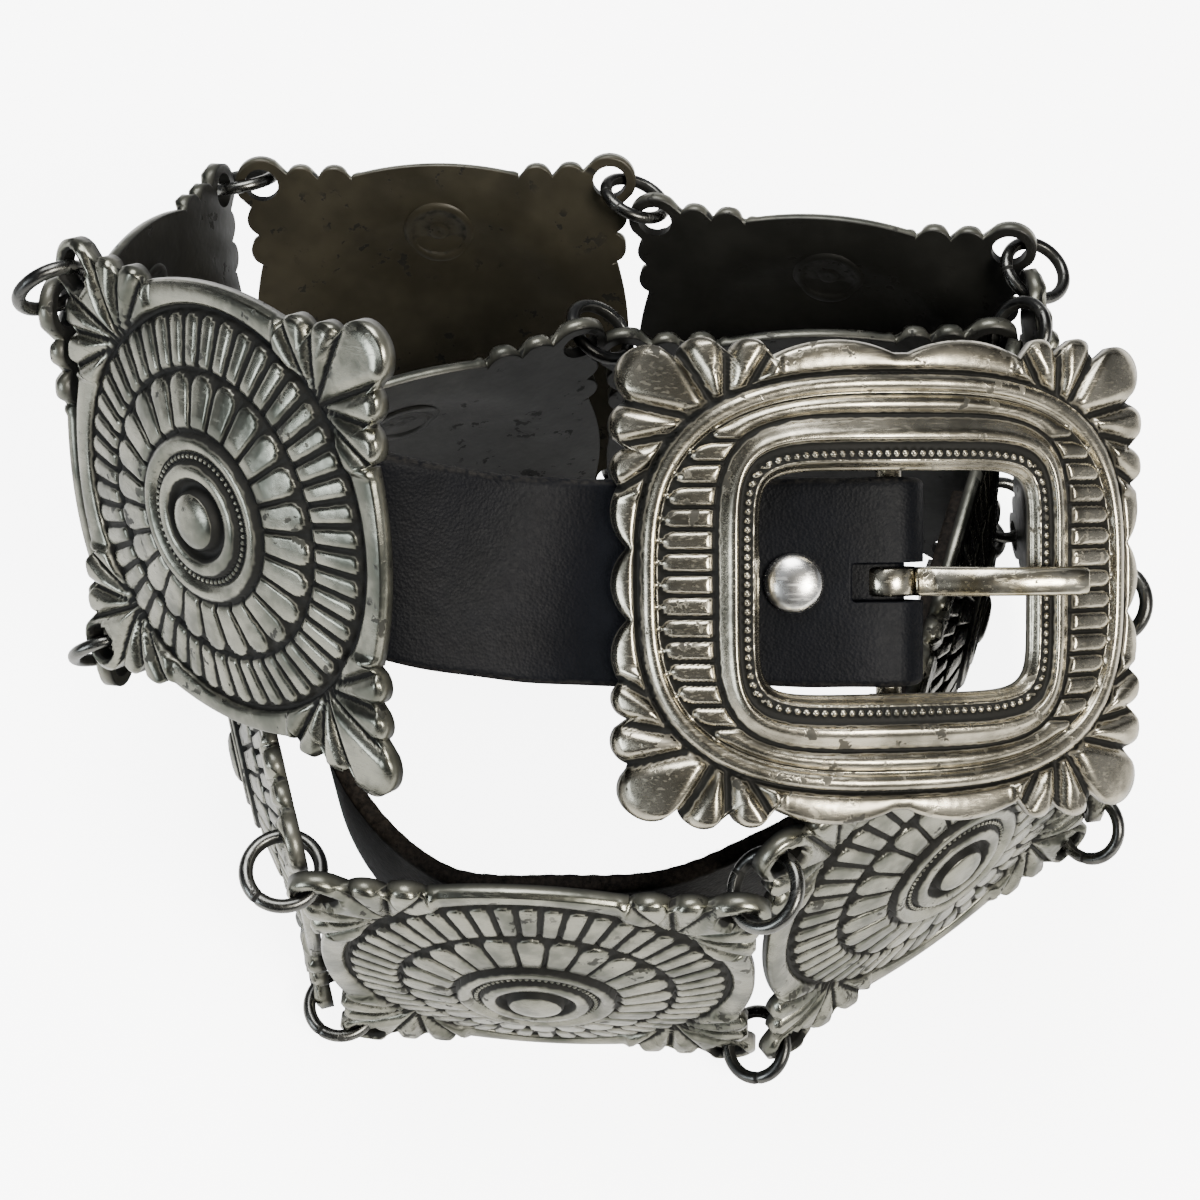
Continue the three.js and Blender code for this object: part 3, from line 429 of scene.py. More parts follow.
def make_ring():
    """A bent wire ring with a fine seam where its ends meet."""
    major, minor, around, tube = 4.5, 0.88, 72, 16
    u = np.arange(around) * 2 * np.pi / around
    seam = bump((u - 4.2), 0.03)
    v = np.arange(tube) * 2 * np.pi / tube
    wire = minor * (1 - 0.12 * seam) * (1 + 0.015 * np.sin(3 * u))
    radial = major + wire[:, None] * np.cos(v)
    turned = radial * np.cos(u)[:, None], radial * np.sin(u)[:, None]
    points = np.stack([*turned, wire[:, None] * np.sin(v)], 2)
    ids = np.arange(around * tube).reshape(around, tube)
    right, down = np.roll(ids, -1, 0), np.roll(ids, -1, 1)
    faces = np.stack([ids, right, np.roll(right, -1, 1), down], 2).reshape(-1, 4)
    # Dark marks: the seam in full, and the inner side of the wire, facing the ring's middle, at half
    # strength.
    dark = np.repeat(seam, tube) + 0.5 * (np.tile(np.cos(v), around) < -0.6)
    values = {"dark": np.clip(dark, 0, 1), "rear": dark * 0}
    return new_object("ring_base", points.reshape(-1, 3), faces, values)


# Buckle


def buckle_frame_matrix():
    joint = frame["joints"][0]
    y_axis = -unit(np.array(joint["axis"], float))
    points = node_points("buckle_frame")
    centre = (points.min(0) + points.max(0)) / 2
    out = unit(np.cross(np.array([1.0, 0, 0]) - y_axis * y_axis[0], y_axis))
    corners = corner_means(points, centre, out, 0.93)
    middle = np.mean(corners, 0)
    right = [c for c in corners if (c - middle)[0] > 0]
    left = [c for c in corners if (c - middle)[0] <= 0]
    x_axis = np.mean(right, 0) - np.mean(left, 0)
    x_axis = unit(x_axis - y_axis * (x_axis @ y_axis))
    z_axis = np.cross(x_axis, y_axis)
    origin = np.array(joint["pos_m"], float) + z_axis * BAR_DEPTH * MM
    return matrix_of(x_axis, y_axis, z_axis, origin)


def oval(angle, a, b, n):
    dx, dy = abs(np.cos(angle)), abs(np.sin(angle))
    return ((dx / a) ** n + (dy / b) ** n) ** (-1 / n)


def buckle_edge(angle):
    dx, dy = np.cos(angle), np.sin(angle)
    lobes = []
    for sx in (1, -1):
        lobes += [(sx * 27.0, along, 5.7) for along in (-8.4, 0, 8.4)]
        for sy in (1, -1):
            lobes += [(sx * cx, sy * cy, r) for cx, cy, r in BUCKLE_LOBES]
            lobes.append((sx * 7.6, sy * 12.5, 15.6))
    return widened(oval(angle, 31.0, 26.6, 3.6), dx, dy, lobes)


def buckle_front(x, y, angle, r, edge):
    ridge, foot, rim, crest, step = (oval(angle, *sizes) for sizes in (RIDGE, FOOT, RIM_OVAL, CREST, STEP))
    window = oval(angle, WINDOW_W, WINDOW_H, WINDOW_POWER)
    dark = np.zeros_like(r)
    z = np.full_like(r, 1.0)
    outer = np.clip((r - ridge) / np.maximum(edge - ridge, 0.5), 0, 1)
    z += 0.5 * np.sin(np.pi * outer) ** 0.7 - 0.6 * smooth((outer - 0.88) / 0.12)
    # corner fans
    ax, ay = abs(x), abs(y)
    near = np.full_like(r, 9.0)
    for nx, ny in BUCKLE_NOTCHES:
        start = 20.8 + (nx - 24) * 0.16, 18.9 + (ny - 22) * 0.16
        near = np.minimum(near, segment_distance(ax, ay, *start, nx, ny))
    in_fan = smooth((ax - 13.5) / 1.5) * smooth((ay - 9.5) / 1.5) * smooth((r - ridge - 0.1) / 0.8)
    z += in_fan * (0.95 * smooth(near / 1.7) - 0.1)
    groove = bump(near, 0.42) * in_fan
    z -= 0.6 * groove
    dark = np.maximum(dark, groove)
    foot_groove = bump(r - ridge - 0.15, 0.4)
    z -= 0.5 * foot_groove
    dark = np.maximum(dark, 0.85 * foot_groove)
    # broad outer ridge
    middle, half = (ridge + foot) / 2, np.maximum((ridge - foot) / 2, 0.3)
    z = np.where((r < ridge) & (r >= foot), 1.35 + 1.15 * swell(r, middle, half), z)
    # crescent of petals at the sides, plain at top and bottom
    t = np.clip((r - rim) / np.maximum(foot - rim, 0.3), 0, 1)
    z = np.where(r < foot, 1.3, z)
    width = foot - rim
    row = y / BUCKLE_PETAL
    off = abs(row - np.round(row)) * BUCKLE_PETAL
    cap = 1.15 / np.maximum(width, 1.5)
    reach = np.sqrt(np.clip(1 - (np.maximum(t - 0.95 + cap, 0) / cap) ** 2, 0, 1))
    inside = np.minimum(1.2 * reach - off, (t - 0.03) * width)
    petal = smooth(inside / 0.34)
    at_side = smooth((width - 2.6) / 0.8) * (abs(x) > 18)
    band = (r < foot) & (r >= rim)
    plain = 1.3 + 0.9 * np.sin(np.pi * t) ** 0.8
    raised = 1.25 + 0.85 * petal + 0.2 * np.clip(inside, 0, 1)
    lines = 0.9 * (bump(t, 0.12) + bump(t - 1, 0.12))
    z = np.where(band, at_side * raised + (1 - at_side) * plain, z)
    dark = np.where(band, at_side * (1 - petal) + (1 - at_side) * lines, dark)
    # inner ridge, bead row, bevel
    z = np.where(r < rim, 1.9 + 1.25 * smooth((rim - r) / np.maximum(rim - crest, 0.3)), z)
    dark = np.where(r < rim, bump(r - rim, 0.35), dark)
    ledge = np.clip((crest - r) / np.maximum(crest - step, 0.3), 0, 1)
    z = np.where(r < crest, 3.15 - 1.15 * smooth((ledge - 0.35) / 0.5), z)
    dark = np.where(r < crest, smooth((ledge - 0.5) / 0.4), dark)
    inner = np.clip((step - r) / np.maximum(step - window, 0.3), 0, 1)
    middle_r = (step + window) / 2 + 0.55
    arc = np.where(ax / 17.8 > ay / 14.9, y, x) / BUCKLE_BEAD
    bead = np.hypot((arc - np.round(arc)) * BUCKLE_BEAD, r - middle_r)
    z = np.where(r < step, 1.95 + 0.55 * swell(bead, 0, 0.46), z)
    dark = np.where(r < step, smooth((bead - 0.28) / 0.2), dark)
    bevel = smooth((inner - 0.55) / 0.45)
    z = np.where((r < step) & (inner > 0.5), 2.15 - 1.35 * bevel, z)
    dark = np.where((r < step) & (inner > 0.5), 0.9 * bump(inner - 0.5, 0.07), dark)
    return z, dark


def make_buckle():
    angle = np.arange(BUCKLE_AROUND) * 2 * np.pi / BUCKLE_AROUND
    edge = buckle_edge(angle)
    window = oval(angle, WINDOW_W, WINDOW_H, WINDOW_POWER)
    stops = [edge] + [oval(angle, *sizes) for sizes in (RIDGE, FOOT, RIM_OVAL, CREST, STEP)] + [window]
    rays = [edge]
    for a, b, n in zip(stops[:-1], stops[1:], BUCKLE_STEPS):
        rays += [a + (b - a) * (k + 1) / n for k in range(n)]
    back = [edge + (window - edge) * share for share in BUCKLE_REAR]
    xyz, shade, rows = [], [], []
    for radius, side in [(q, 1) for q in rays] + [(q, -1) for q in reversed(back)]:
        x, y = radius * np.cos(angle), radius * np.sin(angle)
        if side > 0:
            z, dark = buckle_front(x, y, angle, radius, edge)
        else:
            z, dark = np.full_like(x, -RIM), np.full_like(x, 0.2)
            trim = (radius > edge - 0.2) | (radius < window + 0.2)
            z = z + 0.3 * trim
        z = z - x * x / (2 * BEND_R)
        xyz.append(np.stack([x, y, z], 1))
        shade.append(dark)
        rows.append(np.arange(BUCKLE_AROUND) + len(rows) * BUCKLE_AROUND)
    faces = ring_faces(rows + [rows[0]], BUCKLE_AROUND)
    rear = np.r_[np.zeros(len(rays) * BUCKLE_AROUND), np.ones(len(back) * BUCKLE_AROUND)]
    values = {"dark": np.concatenate(shade), "rear": rear}
    return new_object("buckle_casting", np.concatenate(xyz), faces[:, ::-1], values)


def lathe(name, profile, around=48):
    """A turned piece about its own Z from (radius, height) pairs in millimetres."""
    u = np.arange(around) * 2 * np.pi / around
    circles = [np.stack([r * np.cos(u), r * np.sin(u), np.full(around, z)], 1) for r, z in profile]
    points = np.concatenate(circles)
    rows = [np.arange(around) + k * around for k in range(len(profile))]
    faces = [tuple(f) for f in ring_faces(rows, around)]
    faces.append(tuple(rows[0][::-1]))
    faces.append(tuple(rows[-1]))
    n = len(points)
    return new_object(name, points, faces, {"dark": np.zeros(n), "rear": np.zeros(n)})


def make_bar():
    half = WINDOW_H + 3.0
    bar = lathe("centre_bar", [(1.3, -half), (BAR_R, -half + 0.3), (BAR_R, half - 0.3), (1.3, half)], 24)
    bar.data.transform(Matrix.Rotation(math.pi / 2, 4, "X"))
    bar.data.transform(Matrix.Translation((0, 0, -BAR_DEPTH * MM)))
    parts = [bar]
    for label, side in (("1", 1), ("m1", -1)):
        lug = rounded_box(f"bar_lug_{label}", (2.4, 1.6, 2.8), 0.6)
        lug.data.transform(Matrix.Translation((0, side * (WINDOW_H + 2.0) * MM, -3.1 * MM)))
        parts.append(lug)
    return parts


def rounded_box(name, half, radius):
    mesh = bmesh.new()
    bmesh.ops.create_cube(mesh, size=2.0)
    bmesh.ops.scale(mesh, vec=[h * MM for h in half], verts=mesh.verts)
    bmesh.ops.bevel(mesh, geom=mesh.edges[:], offset=radius * MM, segments=3, profile=0.5, affect="EDGES")
    data = bpy.data.meshes.new(name)
    mesh.to_mesh(data)
    mesh.free()
    for key in ("dark", "rear"):
        data.attributes.new(key, "FLOAT", "POINT")
    item = bpy.data.objects.new(name, data)
    bpy.context.scene.collection.objects.link(item)
    for face in data.polygons:
        face.use_smooth = True
    return item


# Swept pieces: a closed section carried along stations with their own axes


def sweep(name, stations, section, values=None):
    """Stations hold middle, across, normal and both half sizes; the section holds its pairs."""
    section = np.array(section)
    count = len(section)
    points = []
    for middle, across, normal, half, thick in stations:
        points.append(middle + section[:, :1] * half * across + section[:, 1:] * thick * normal)
    rows = [np.arange(count) + k * count for k in range(len(stations))]
    faces = [tuple(f) for f in ring_faces(rows, count)]
    faces += [tuple(rows[0][::-1]), tuple(rows[-1])]
    data = {"dark": np.zeros(len(stations) * count), "rear": np.zeros(len(stations) * count)}
    data.update(values or {})
    return new_object(name, np.concatenate(points), faces, data)


def strap_section(count_top, radius):
    """A flat band's outline with rounded long edges, in shares of half width and half thickness."""
    share = radius / STRAP_HALF
    across = np.linspace(-1 + share, 1 - share, count_top)
    turn = np.linspace(math.pi / 2, -math.pi / 2, 7)[1:-1]
    right = [(1 - share + share * math.cos(a), math.sin(a)) for a in turn]
    top = [(a, 1) for a in across]
    low = [(a, -1) for a in across[::-1]]
    left = [(-x, -z) for x, z in right]
    return top + right + low + left


def bezier(p0, p1, p2, p3, t):
    t = np.asarray(t)[:, None]
    return (1 - t) ** 3 * p0 + 3 * (1 - t) ** 2 * t * p1 + 3 * (1 - t) * t * t * p2 + t**3 * p3


def stations_along(path, across, half, thick):
    travel = np.gradient(path, axis=0)
    travel /= np.linalg.norm(travel, axis=1)[:, None]
    across = across - travel * np.sum(across * travel, axis=1)[:, None]
    across /= np.linalg.norm(across, axis=1)[:, None]
    normal = np.cross(across, travel)
    half = np.broadcast_to(half, len(path))
    return [(path[i], across[i], normal[i], half[i], thick) for i in range(len(path))]


def strap_top(x):
    """The height of the strap's upper face under the buckle's left half."""
    edge = WINDOW_W

    def back(q):
        return -RIM - q * q / (2 * BEND_R) - 1.1

    if -x >= edge:
        return back(x)
    share = -x / edge
    slope = -edge * edge / BEND_R
    start = -BAR_DEPTH + BAR_R + 0.3 + 2.2
    rise = 3 * share**2 - 2 * share**3
    return start + (back(edge) - start) * rise + slope * (share**3 - share**2)


def make_strap(buckle, concho):
    """The dark strap: its tab, the fold round the bar, its face, the free bend, its hidden end."""
    own = []
    radius = BAR_R + 0.35 + STRAP_HALF_THICK
    for x in np.linspace(-23.5, -3.5, 24):
        own.append((x, strap_top(x) - 3.35))
    for a in np.radians(np.linspace(-90, 90, 22)[1:]):
        own.append((radius * math.cos(a), -BAR_DEPTH + radius * math.sin(a)))
    for x in np.linspace(-2.2, -BUCKLE_W, 46):
        own.append((x, strap_top(x) - STRAP_HALF_THICK))
    own = np.array(own)
    bx, by, bz, bt = (np.array(buckle.col[k][:3]) for k in range(4))
    cx, cy, cz, ct = (np.array(concho.col[k][:3]) for k in range(4))
    path = bt / MM + own[:, :1] * bx + own[:, 1:] * bz
    start = path[-1]
    travel = unit(path[-1] - path[-2])
    end = ct / MM + cx * 12 - cz * 2.2
    reach = np.linalg.norm(end - start) * 0.4
    free = bezier(start, start + travel * reach, end + cx * reach, end, np.linspace(0, 1, 60)[1:])
    hidden = end - cx * np.linspace(1, 16, 14)[:, None]
    n = len(path)
    path = np.concatenate([path, free, hidden])
    share = np.clip((np.arange(len(path)) - n) / 60, 0, 1)[:, None]
    across = by * (1 - share) + cy * share
    length = np.r_[0, np.cumsum(np.linalg.norm(np.diff(path, axis=0), axis=1))]
    half = 12.2 + 0.1 * np.sin(length / 5.1) + 0.05 * np.sin(length / 1.7)
    section = strap_section(49, 0.8)
    stations = stations_along(path, across, half, STRAP_HALF_THICK)
    # Painted highlight: the rounded long edges are marked here for the leather's paler edge colour.
    edge = np.tile((abs(np.array(section)[:, 0]) > 0.955).astype(float), len(stations))
    strap = sweep("strap_leather", stations, section, {"dark": edge})
    cutter = rounded_box("slot_cutter", (7.4, 2.3, 12), 0.5)
    cutter.data.transform(Matrix.Translation((1.9 * MM, 0, -BAR_DEPTH * MM)))
    cutter.matrix_world = buckle
    cut(strap, cutter)
    return strap


def cut(item, cutter):
    """Takes the cutter's shape out of the item and removes the cutter."""
    step = item.modifiers.new("slot", "BOOLEAN")
    step.operation = "DIFFERENCE"
    step.solver = "EXACT"
    step.object = cutter
    bpy.context.view_layer.update()
    graph = bpy.context.evaluated_depsgraph_get()
    mesh = bpy.data.meshes.new_from_object(item.evaluated_get(graph))
    item.modifiers.clear()
    item.data = mesh
    bpy.data.objects.remove(cutter)


def eased(path, width):
    """The path's running mean, shorter by the window at its ends."""
    kernel = np.hanning(width) / np.hanning(width).sum()
    return np.stack([np.convolve(column, kernel, "valid") for column in path.T], 1)


def make_tail():
    """The rough leather tail, following the middle line of its solid."""
    points = node_points("tail_strap") / MM
    origin = np.array([0.0, -12.0])
    concho = concho_frames["concho_11"]
    cx, cy, cz, ct = (np.array(concho.col[k][:3]) for k in range(4))
    held = [ct / MM + cx * a - cz * 2.3 for a in (12, 6, 0, -8, -16, -24, -30)]
    edge = points[abs(points[:, 2] - np.median(points[:, 2])) > 9]
    angle = np.degrees(np.arctan2(edge[:, 1] - origin[1], edge[:, 0] - origin[0]))
    line = []
    for a in np.arange(-48, -181, -9):
        near = edge[abs((angle - a + 180) % 360 - 180) < 6]
        if len(near) > 3:
            line.append([near[:, 0].mean(), near[:, 1].mean(), near[:, 2].mean()])
    rough = np.array(held + line)
    grid = np.r_[0, np.cumsum(np.linalg.norm(np.diff(rough, axis=0), axis=1))]
    fine = np.linspace(0, grid[-1], TAIL_STEPS)
    path = np.stack([np.interp(fine, grid, rough[:, k]) for k in range(3)], 1)
    padded = np.pad(path, ((7, 7), (0, 0)), mode="edge")
    padded[:7] = path[0] - (path[7:0:-1] - path[0])
    padded[-7:] = path[-1] - (path[-2:-9:-1] - path[-1])
    path = eased(padded, 15)
    share = smooth((np.arange(TAIL_STEPS) / TAIL_STEPS - 0.3) * 3)[:, None]
    across = cy * (1 - share) + UP * share
    left = fine[-1] - fine
    half = STRAP_HALF * (0.35 + 0.65 * np.sqrt(np.clip(left / 9, 0, 1)))
    half = half + 0.12 * np.sin(fine * 2.3) + 0.08 * np.sin(fine * 5.9 + 1)
    section = strap_section(33, 0.6)
    stations = stations_along(path, across, half, TAIL_HALF_THICK)
    # Painted highlight: the rounded long edges are marked here for the leather's paler edge colour.
    painted_edge_highlight = np.tile((abs(np.array(section)[:, 0]) > 0.94).astype(float), len(stations))
    return sweep("tail_leather", stations, section, {"dark": painted_edge_highlight}), stations


def make_fibres(stations):
    """Short loose fibres along the tail's upper edge."""
    rng = np.random.default_rng(4)
    points, faces = [], []
    for _ in range(2600):
        i = int(rng.integers(45, len(stations) - 2))
        middle, across, normal, half, _ = stations[i]
        along = unit(stations[i + 1][0] - middle)
        root = middle + across * (half - 0.1)
        root = root + normal * rng.uniform(-1, 1) + along * rng.uniform(0, 0.8)
        lean = unit(across * 0.7 + normal * rng.normal() * 0.7 + along * rng.normal() * 0.8)
        tip = root + lean * rng.uniform(0.25, 0.8)
        wide = unit(np.cross(lean, normal + 0.1)) * 0.035
        base = len(points)
        points += [root - wide, root + wide, tip]
        faces.append((base, base + 1, base + 2))
    n = len(points)
    # The fibres carry the full edge mask, so they are blended towards the paler edge colour of the painted
    # edge highlight.
    return new_object("tail_fibres", points, faces, {"dark": np.ones(n), "rear": np.zeros(n)})


def make_prong():
    """A rounded bar from its eye over the window to a blunt tip on the frame."""
    inner, outer = BAR_R + 0.4, BAR_R + 1.8
    crest_x = WINDOW_W + 3.0
    seat = RIM + 2.2 - crest_x**2 / (2 * BEND_R) + 0.6
    steps, sides = 60, 40
    reach = np.array([2.6, 5.2, 8.0, 11.0, 14.5, 18.5, 21.0, 22.3])
    rise = np.array([-2.2, *(seat + np.array([-2.9, -1.2, 0.2, 1.1, 1.45, 1.3, 1.1]))])
    count = np.arange(steps)
    t = np.linspace(0, len(reach) - 1, steps)
    rough = np.stack([np.interp(t, np.arange(len(reach)), column) for column in (reach, rise)], 1)
    side_path = eased(np.pad(rough, ((4, 4), (0, 0)), mode="edge"), 9)
    side_path[0], side_path[-1] = rough[0], rough[-1]
    path = np.stack([side_path[:, 0], np.zeros(steps), side_path[:, 1]], 1)
    across = np.tile([0, 1.0, 0], (steps, 1))
    half = np.interp(count, [0, 8, 50, 57, 59], [1.7, 1.7, 1.65, 1.5, 1.0])
    thick = np.interp(count, [0, 10, 50, 57, 59], [1.0, 1.35, 1.3, 1.2, 0.8])
    stations = [(*row[:4], deep) for row, deep in zip(stations_along(path, across, half, 1.0), thick)]
    facets = [(0.42, 1), (0.8, 0.72), (1, 0.2), (1, -0.55), (0.75, -0.95)]
    facets += [(-a, b) for a, b in facets[::-1]]
    arm = sweep("prong_arm", stations, facets)
    profile = [(inner, -1.7), (outer - 0.25, -1.7), (outer, -1.4)]
    profile += [(r, -y) for r, y in profile[::-1]]
    u = np.arange(sides) * 2 * np.pi / sides
    circles = [np.stack([r * np.cos(u), np.full(sides, y), r * np.sin(u) - BAR_DEPTH], 1) for r, y in profile]
    rows = [np.arange(sides) + k * sides for k in range(len(profile))]
    plain = np.zeros(sides * len(profile))
    faces = ring_faces(rows + [rows[0]], sides)
    eye = new_object("prong_eye", np.concatenate(circles), faces, {"dark": plain, "rear": plain})
    return [arm, eye]


# Materials


class Nodes:
    """Small helper to write a node material line by line."""

    def __init__(self, name):
        self.material = bpy.data.materials.new(name)
        self.material.use_nodes = True
        self.tree = self.material.node_tree
        self.shader = self.tree.nodes["Principled BSDF"]
        self.place = self.add("ShaderNodeTexCoord").outputs["Object"]

    def add(self, kind, **settings):
        node = self.tree.nodes.new(kind)
        for key, value in settings.items():
            setattr(node, key, value)
        return node

    def link(self, source, target):
        if isinstance(source, (int, float)):
            target.default_value = source
        elif isinstance(source, tuple):
            target.default_value = (*source, 1)
        else:
            self.tree.links.new(source, target)

    def noise(self, scale, detail=4.0, rough=0.6, stretch=None, seed=0.0):
        vector = self.place
        if stretch:
            mapping = self.add("ShaderNodeMapping")
            mapping.inputs["Scale"].default_value = stretch
            self.link(vector, mapping.inputs["Vector"])
            vector = mapping.outputs["Vector"]
        node = self.add("ShaderNodeTexNoise", noise_dimensions="4D")
        self.link(vector, node.inputs["Vector"])
        node.inputs["Scale"].default_value = scale
        node.inputs["Detail"].default_value = detail
        node.inputs["Roughness"].default_value = rough
        info = self.add("ShaderNodeObjectInfo")
        self.link(self.math("MULTIPLY_ADD", info.outputs["Random"], 9.0, seed), node.inputs["W"])
        return node.outputs["Fac"]

    def math(self, kind, a, b=0.0, c=0.0):
        node = self.add("ShaderNodeMath", operation=kind, use_clamp=kind == "ADD")
        for value, socket in zip((a, b, c), node.inputs):
            self.link(value, socket)
        return node.outputs[0]

    def ramp(self, source, low, high, start=0.0, end=1.0):
        node = self.add("ShaderNodeMapRange", interpolation_type="SMOOTHSTEP")
        self.link(source, node.inputs["Value"])
        for key, value in (("From Min", low), ("From Max", high), ("To Min", start), ("To Max", end)):
            node.inputs[key].default_value = value
        return node.outputs["Result"]

    def mix(self, share, a, b):
        node = self.add("ShaderNodeMix", data_type="RGBA")
        self.link(share, node.inputs[0])
        self.link(a, node.inputs[6])
        self.link(b, node.inputs[7])
        return node.outputs[2]

    def blend(self, share, a, b):
        node = self.add("ShaderNodeMix", data_type="FLOAT")
        for value, socket in zip((share, a, b), node.inputs[:1] + node.inputs[2:4]):
            self.link(value, socket)
        return node.outputs[0]

    def value(self, name):
        return self.add("ShaderNodeAttribute", attribute_name=name).outputs["Fac"]

    def bump(self, height, strength, distance, under=None):
        node = self.add("ShaderNodeBump")
        node.inputs["Strength"].default_value = strength
        node.inputs["Distance"].default_value = distance
        self.link(height, node.inputs["Height"])
        if under:
            self.link(under, node.inputs["Normal"])
        return node.outputs["Normal"]

    def finish(self, color, rough, metal, normal, **more):
        self.link(color, self.shader.inputs["Base Color"])
        self.link(rough, self.shader.inputs["Roughness"])
        self.link(metal, self.shader.inputs["Metallic"])
        self.link(normal, self.shader.inputs["Normal"])
        for key, value in more.items():
            self.shader.inputs[key.replace("_", " ")].default_value = value
        return self.material


PATINA, DARK_BACK, BROWN_BACK = (0.008, 0.008, 0.007), (0.009, 0.009, 0.008), (0.021, 0.0185, 0.012)


def antique_silver(name, bright, worn, back=DARK_BACK, polish=0.2):
    """Cast metal: bright on the high parts, black in the recesses, darker behind."""
    n = Nodes(name)
    cloud = n.noise(160, 3, 0.6)
    fine = n.noise(900, 1, 0.5, seed=3.0)
    tone = n.mix(n.ramp(cloud, 0.36, 0.66), bright, worn)
    recess = n.value("dark")
    soot = n.ramp(n.math("ADD", recess, n.math("MULTIPLY_ADD", fine, 0.5, -0.25)), 0.14, 0.5)
    pits = n.ramp(n.noise(480, 3, 0.6, seed=6.0), 0.585, 0.62)
    patch = n.ramp(n.noise(120, 1, 0.5, seed=8.0), 0.5, 0.58)
    pits = n.math("MULTIPLY", pits, patch)
    dirt = n.math("MAXIMUM", soot, n.math("MULTIPLY", pits, 0.85))
    rear = n.value("rear")
    clouds = n.ramp(n.noise(75, 3, 0.7, seed=12.0), 0.35, 0.68)
    aged = n.mix(clouds, back, tuple(c * 1.7 for c in back))
    color = n.mix(dirt, n.mix(rear, tone, aged), PATINA)
    scratch = n.noise(420, 1, 0.5, stretch=(1.0, 9.0, 9.0), seed=5.0)
    rough = n.math("MULTIPLY_ADD", cloud, 0.14, polish)
    rough = n.math("ADD", rough, n.math("MULTIPLY", n.ramp(scratch, 0.55, 0.7), 0.12))
    rough = n.blend(rear, rough, n.math("MULTIPLY_ADD", cloud, 0.25, 0.3))
    rough = n.blend(dirt, rough, 0.6)
    metal = n.blend(dirt, n.blend(rear, 1.0, 0.22), 0.0)
    n.link(n.blend(dirt, n.blend(rear, 0.5, 0.28), 0.12), n.shader.inputs["Specular IOR Level"])
    normal = n.bump(fine, 0.12, 0.0002)
    normal = n.bump(cloud, 0.25, 0.0006, normal)
    normal = n.bump(dirt, 0.2, -0.0002, normal)
    return n.finish(color, rough, metal, normal)


def leather(name, base, lift, edge, grain):
    """Top-grain leather: fine pebbling, soft creases and a paler edge colour, painted as a highlight along
    the rounded edges.
    """
    n = Nodes(name)
    cells = n.add("ShaderNodeTexVoronoi", feature="F1")
    n.link(n.place, cells.inputs["Vector"])
    cells.inputs["Scale"].default_value = grain
    cloud = n.noise(120, 5, 0.65)
    fine = n.noise(1500, 3, 0.6, seed=2.0)
    color = n.mix(n.ramp(cloud, 0.3, 0.75), base, lift)
    # Painted highlight: the edge mask, broken up by fine noise, blends the rounded long edges towards the
    # paler edge colour.
    color = n.mix(n.math("MULTIPLY", n.value("dark"), n.ramp(fine, 0.3, 0.7)), color, edge)
    rough = n.math("MULTIPLY_ADD", fine, 0.2, 0.42)
    rough = n.math("ADD", rough, n.math("MULTIPLY", n.value("dark"), 0.25))
    normal = n.bump(cells.outputs["Distance"], 0.25, 0.00014)
    normal = n.bump(cloud, 0.4, 0.0005, normal)
    normal = n.bump(fine, 0.15, 0.0001, normal)
    return n.finish(color, rough, 0.0, normal, Specular_IOR_Level=0.09)


def floor_paper():
    n = Nodes("white_paper")
    fine = n.noise(300, 3, 0.6)
    color = n.mix(fine, (0.9, 0.9, 0.9), (0.93, 0.93, 0.93))
    n.link((1.0, 1.0, 1.0), n.shader.inputs["Emission Color"])
    seen = n.add("ShaderNodeLightPath").outputs["Is Camera Ray"]
    n.link(n.math("MULTIPLY_ADD", seen, 6.0, 0.4), n.shader.inputs["Emission Strength"])
    return n.finish(color, 0.8, 0.0, n.bump(fine, 0.05, 0.0002))


PEWTER = (0.225, 0.222, 0.182), (0.085, 0.088, 0.072)
silver = antique_silver("concho_silver", *PEWTER)
silver_gold = antique_silver("concho_silver_aged", *PEWTER, back=BROWN_BACK)
buckle_silver = antique_silver("buckle_silver", (0.43, 0.395, 0.31), (0.17, 0.158, 0.125), polish=0.19)
prong_silver = antique_silver("prong_silver", (0.5, 0.47, 0.38), (0.28, 0.24, 0.15), polish=0.15)
wire = antique_silver("ring_gunmetal", (0.13, 0.13, 0.12), (0.05, 0.05, 0.048))
rivet_metal = antique_silver("rivet_metal", (0.78, 0.77, 0.74), (0.6, 0.59, 0.56))
# Each leather as base, lighter cloud and paler edge colour; the edge colour is a painted highlight along the
# rounded edges.
navy = (0.0008, 0.0011, 0.002), (0.0022, 0.0026, 0.0042), (0.016, 0.015, 0.014)
brown = (0.003, 0.0028, 0.0025), (0.007, 0.006, 0.005), (0.02, 0.016, 0.013)
strap_leather = leather("strap_leather", *navy, 2600)
tail_leather = leather("tail_leather", *brown, 1800)


def dress(item, material, body="belt"):
    item.data.materials.clear()
    item.data.materials.append(material)
    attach(item, body)
    return item


# The belt
concho_names = [f"concho_{i:02d}" for i in range(1, 12)]
concho_frames = {name: concho_frame(name) for name in concho_names}
bases = {
    "first": make_concho("concho_first", (-1,)),
    "middle": make_concho("concho_middle", (1, -1)),
    "last": make_concho("concho_last", (1,)),
}
for i, name in enumerate(concho_names):
    kind = "first" if i == 0 else "last" if i == 10 else "middle"
    brown_one = name == "concho_03"
    mesh = bases[kind].data.copy() if brown_one else bases[kind].data
    item = bpy.data.objects.new(f"{name}_relief", mesh)
    bpy.context.scene.collection.objects.link(item)
    item.matrix_world = concho_frames[name]
    dress(item, silver_gold if brown_one else silver)
    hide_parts(name)
for base in bases.values():
    bpy.data.objects.remove(base)

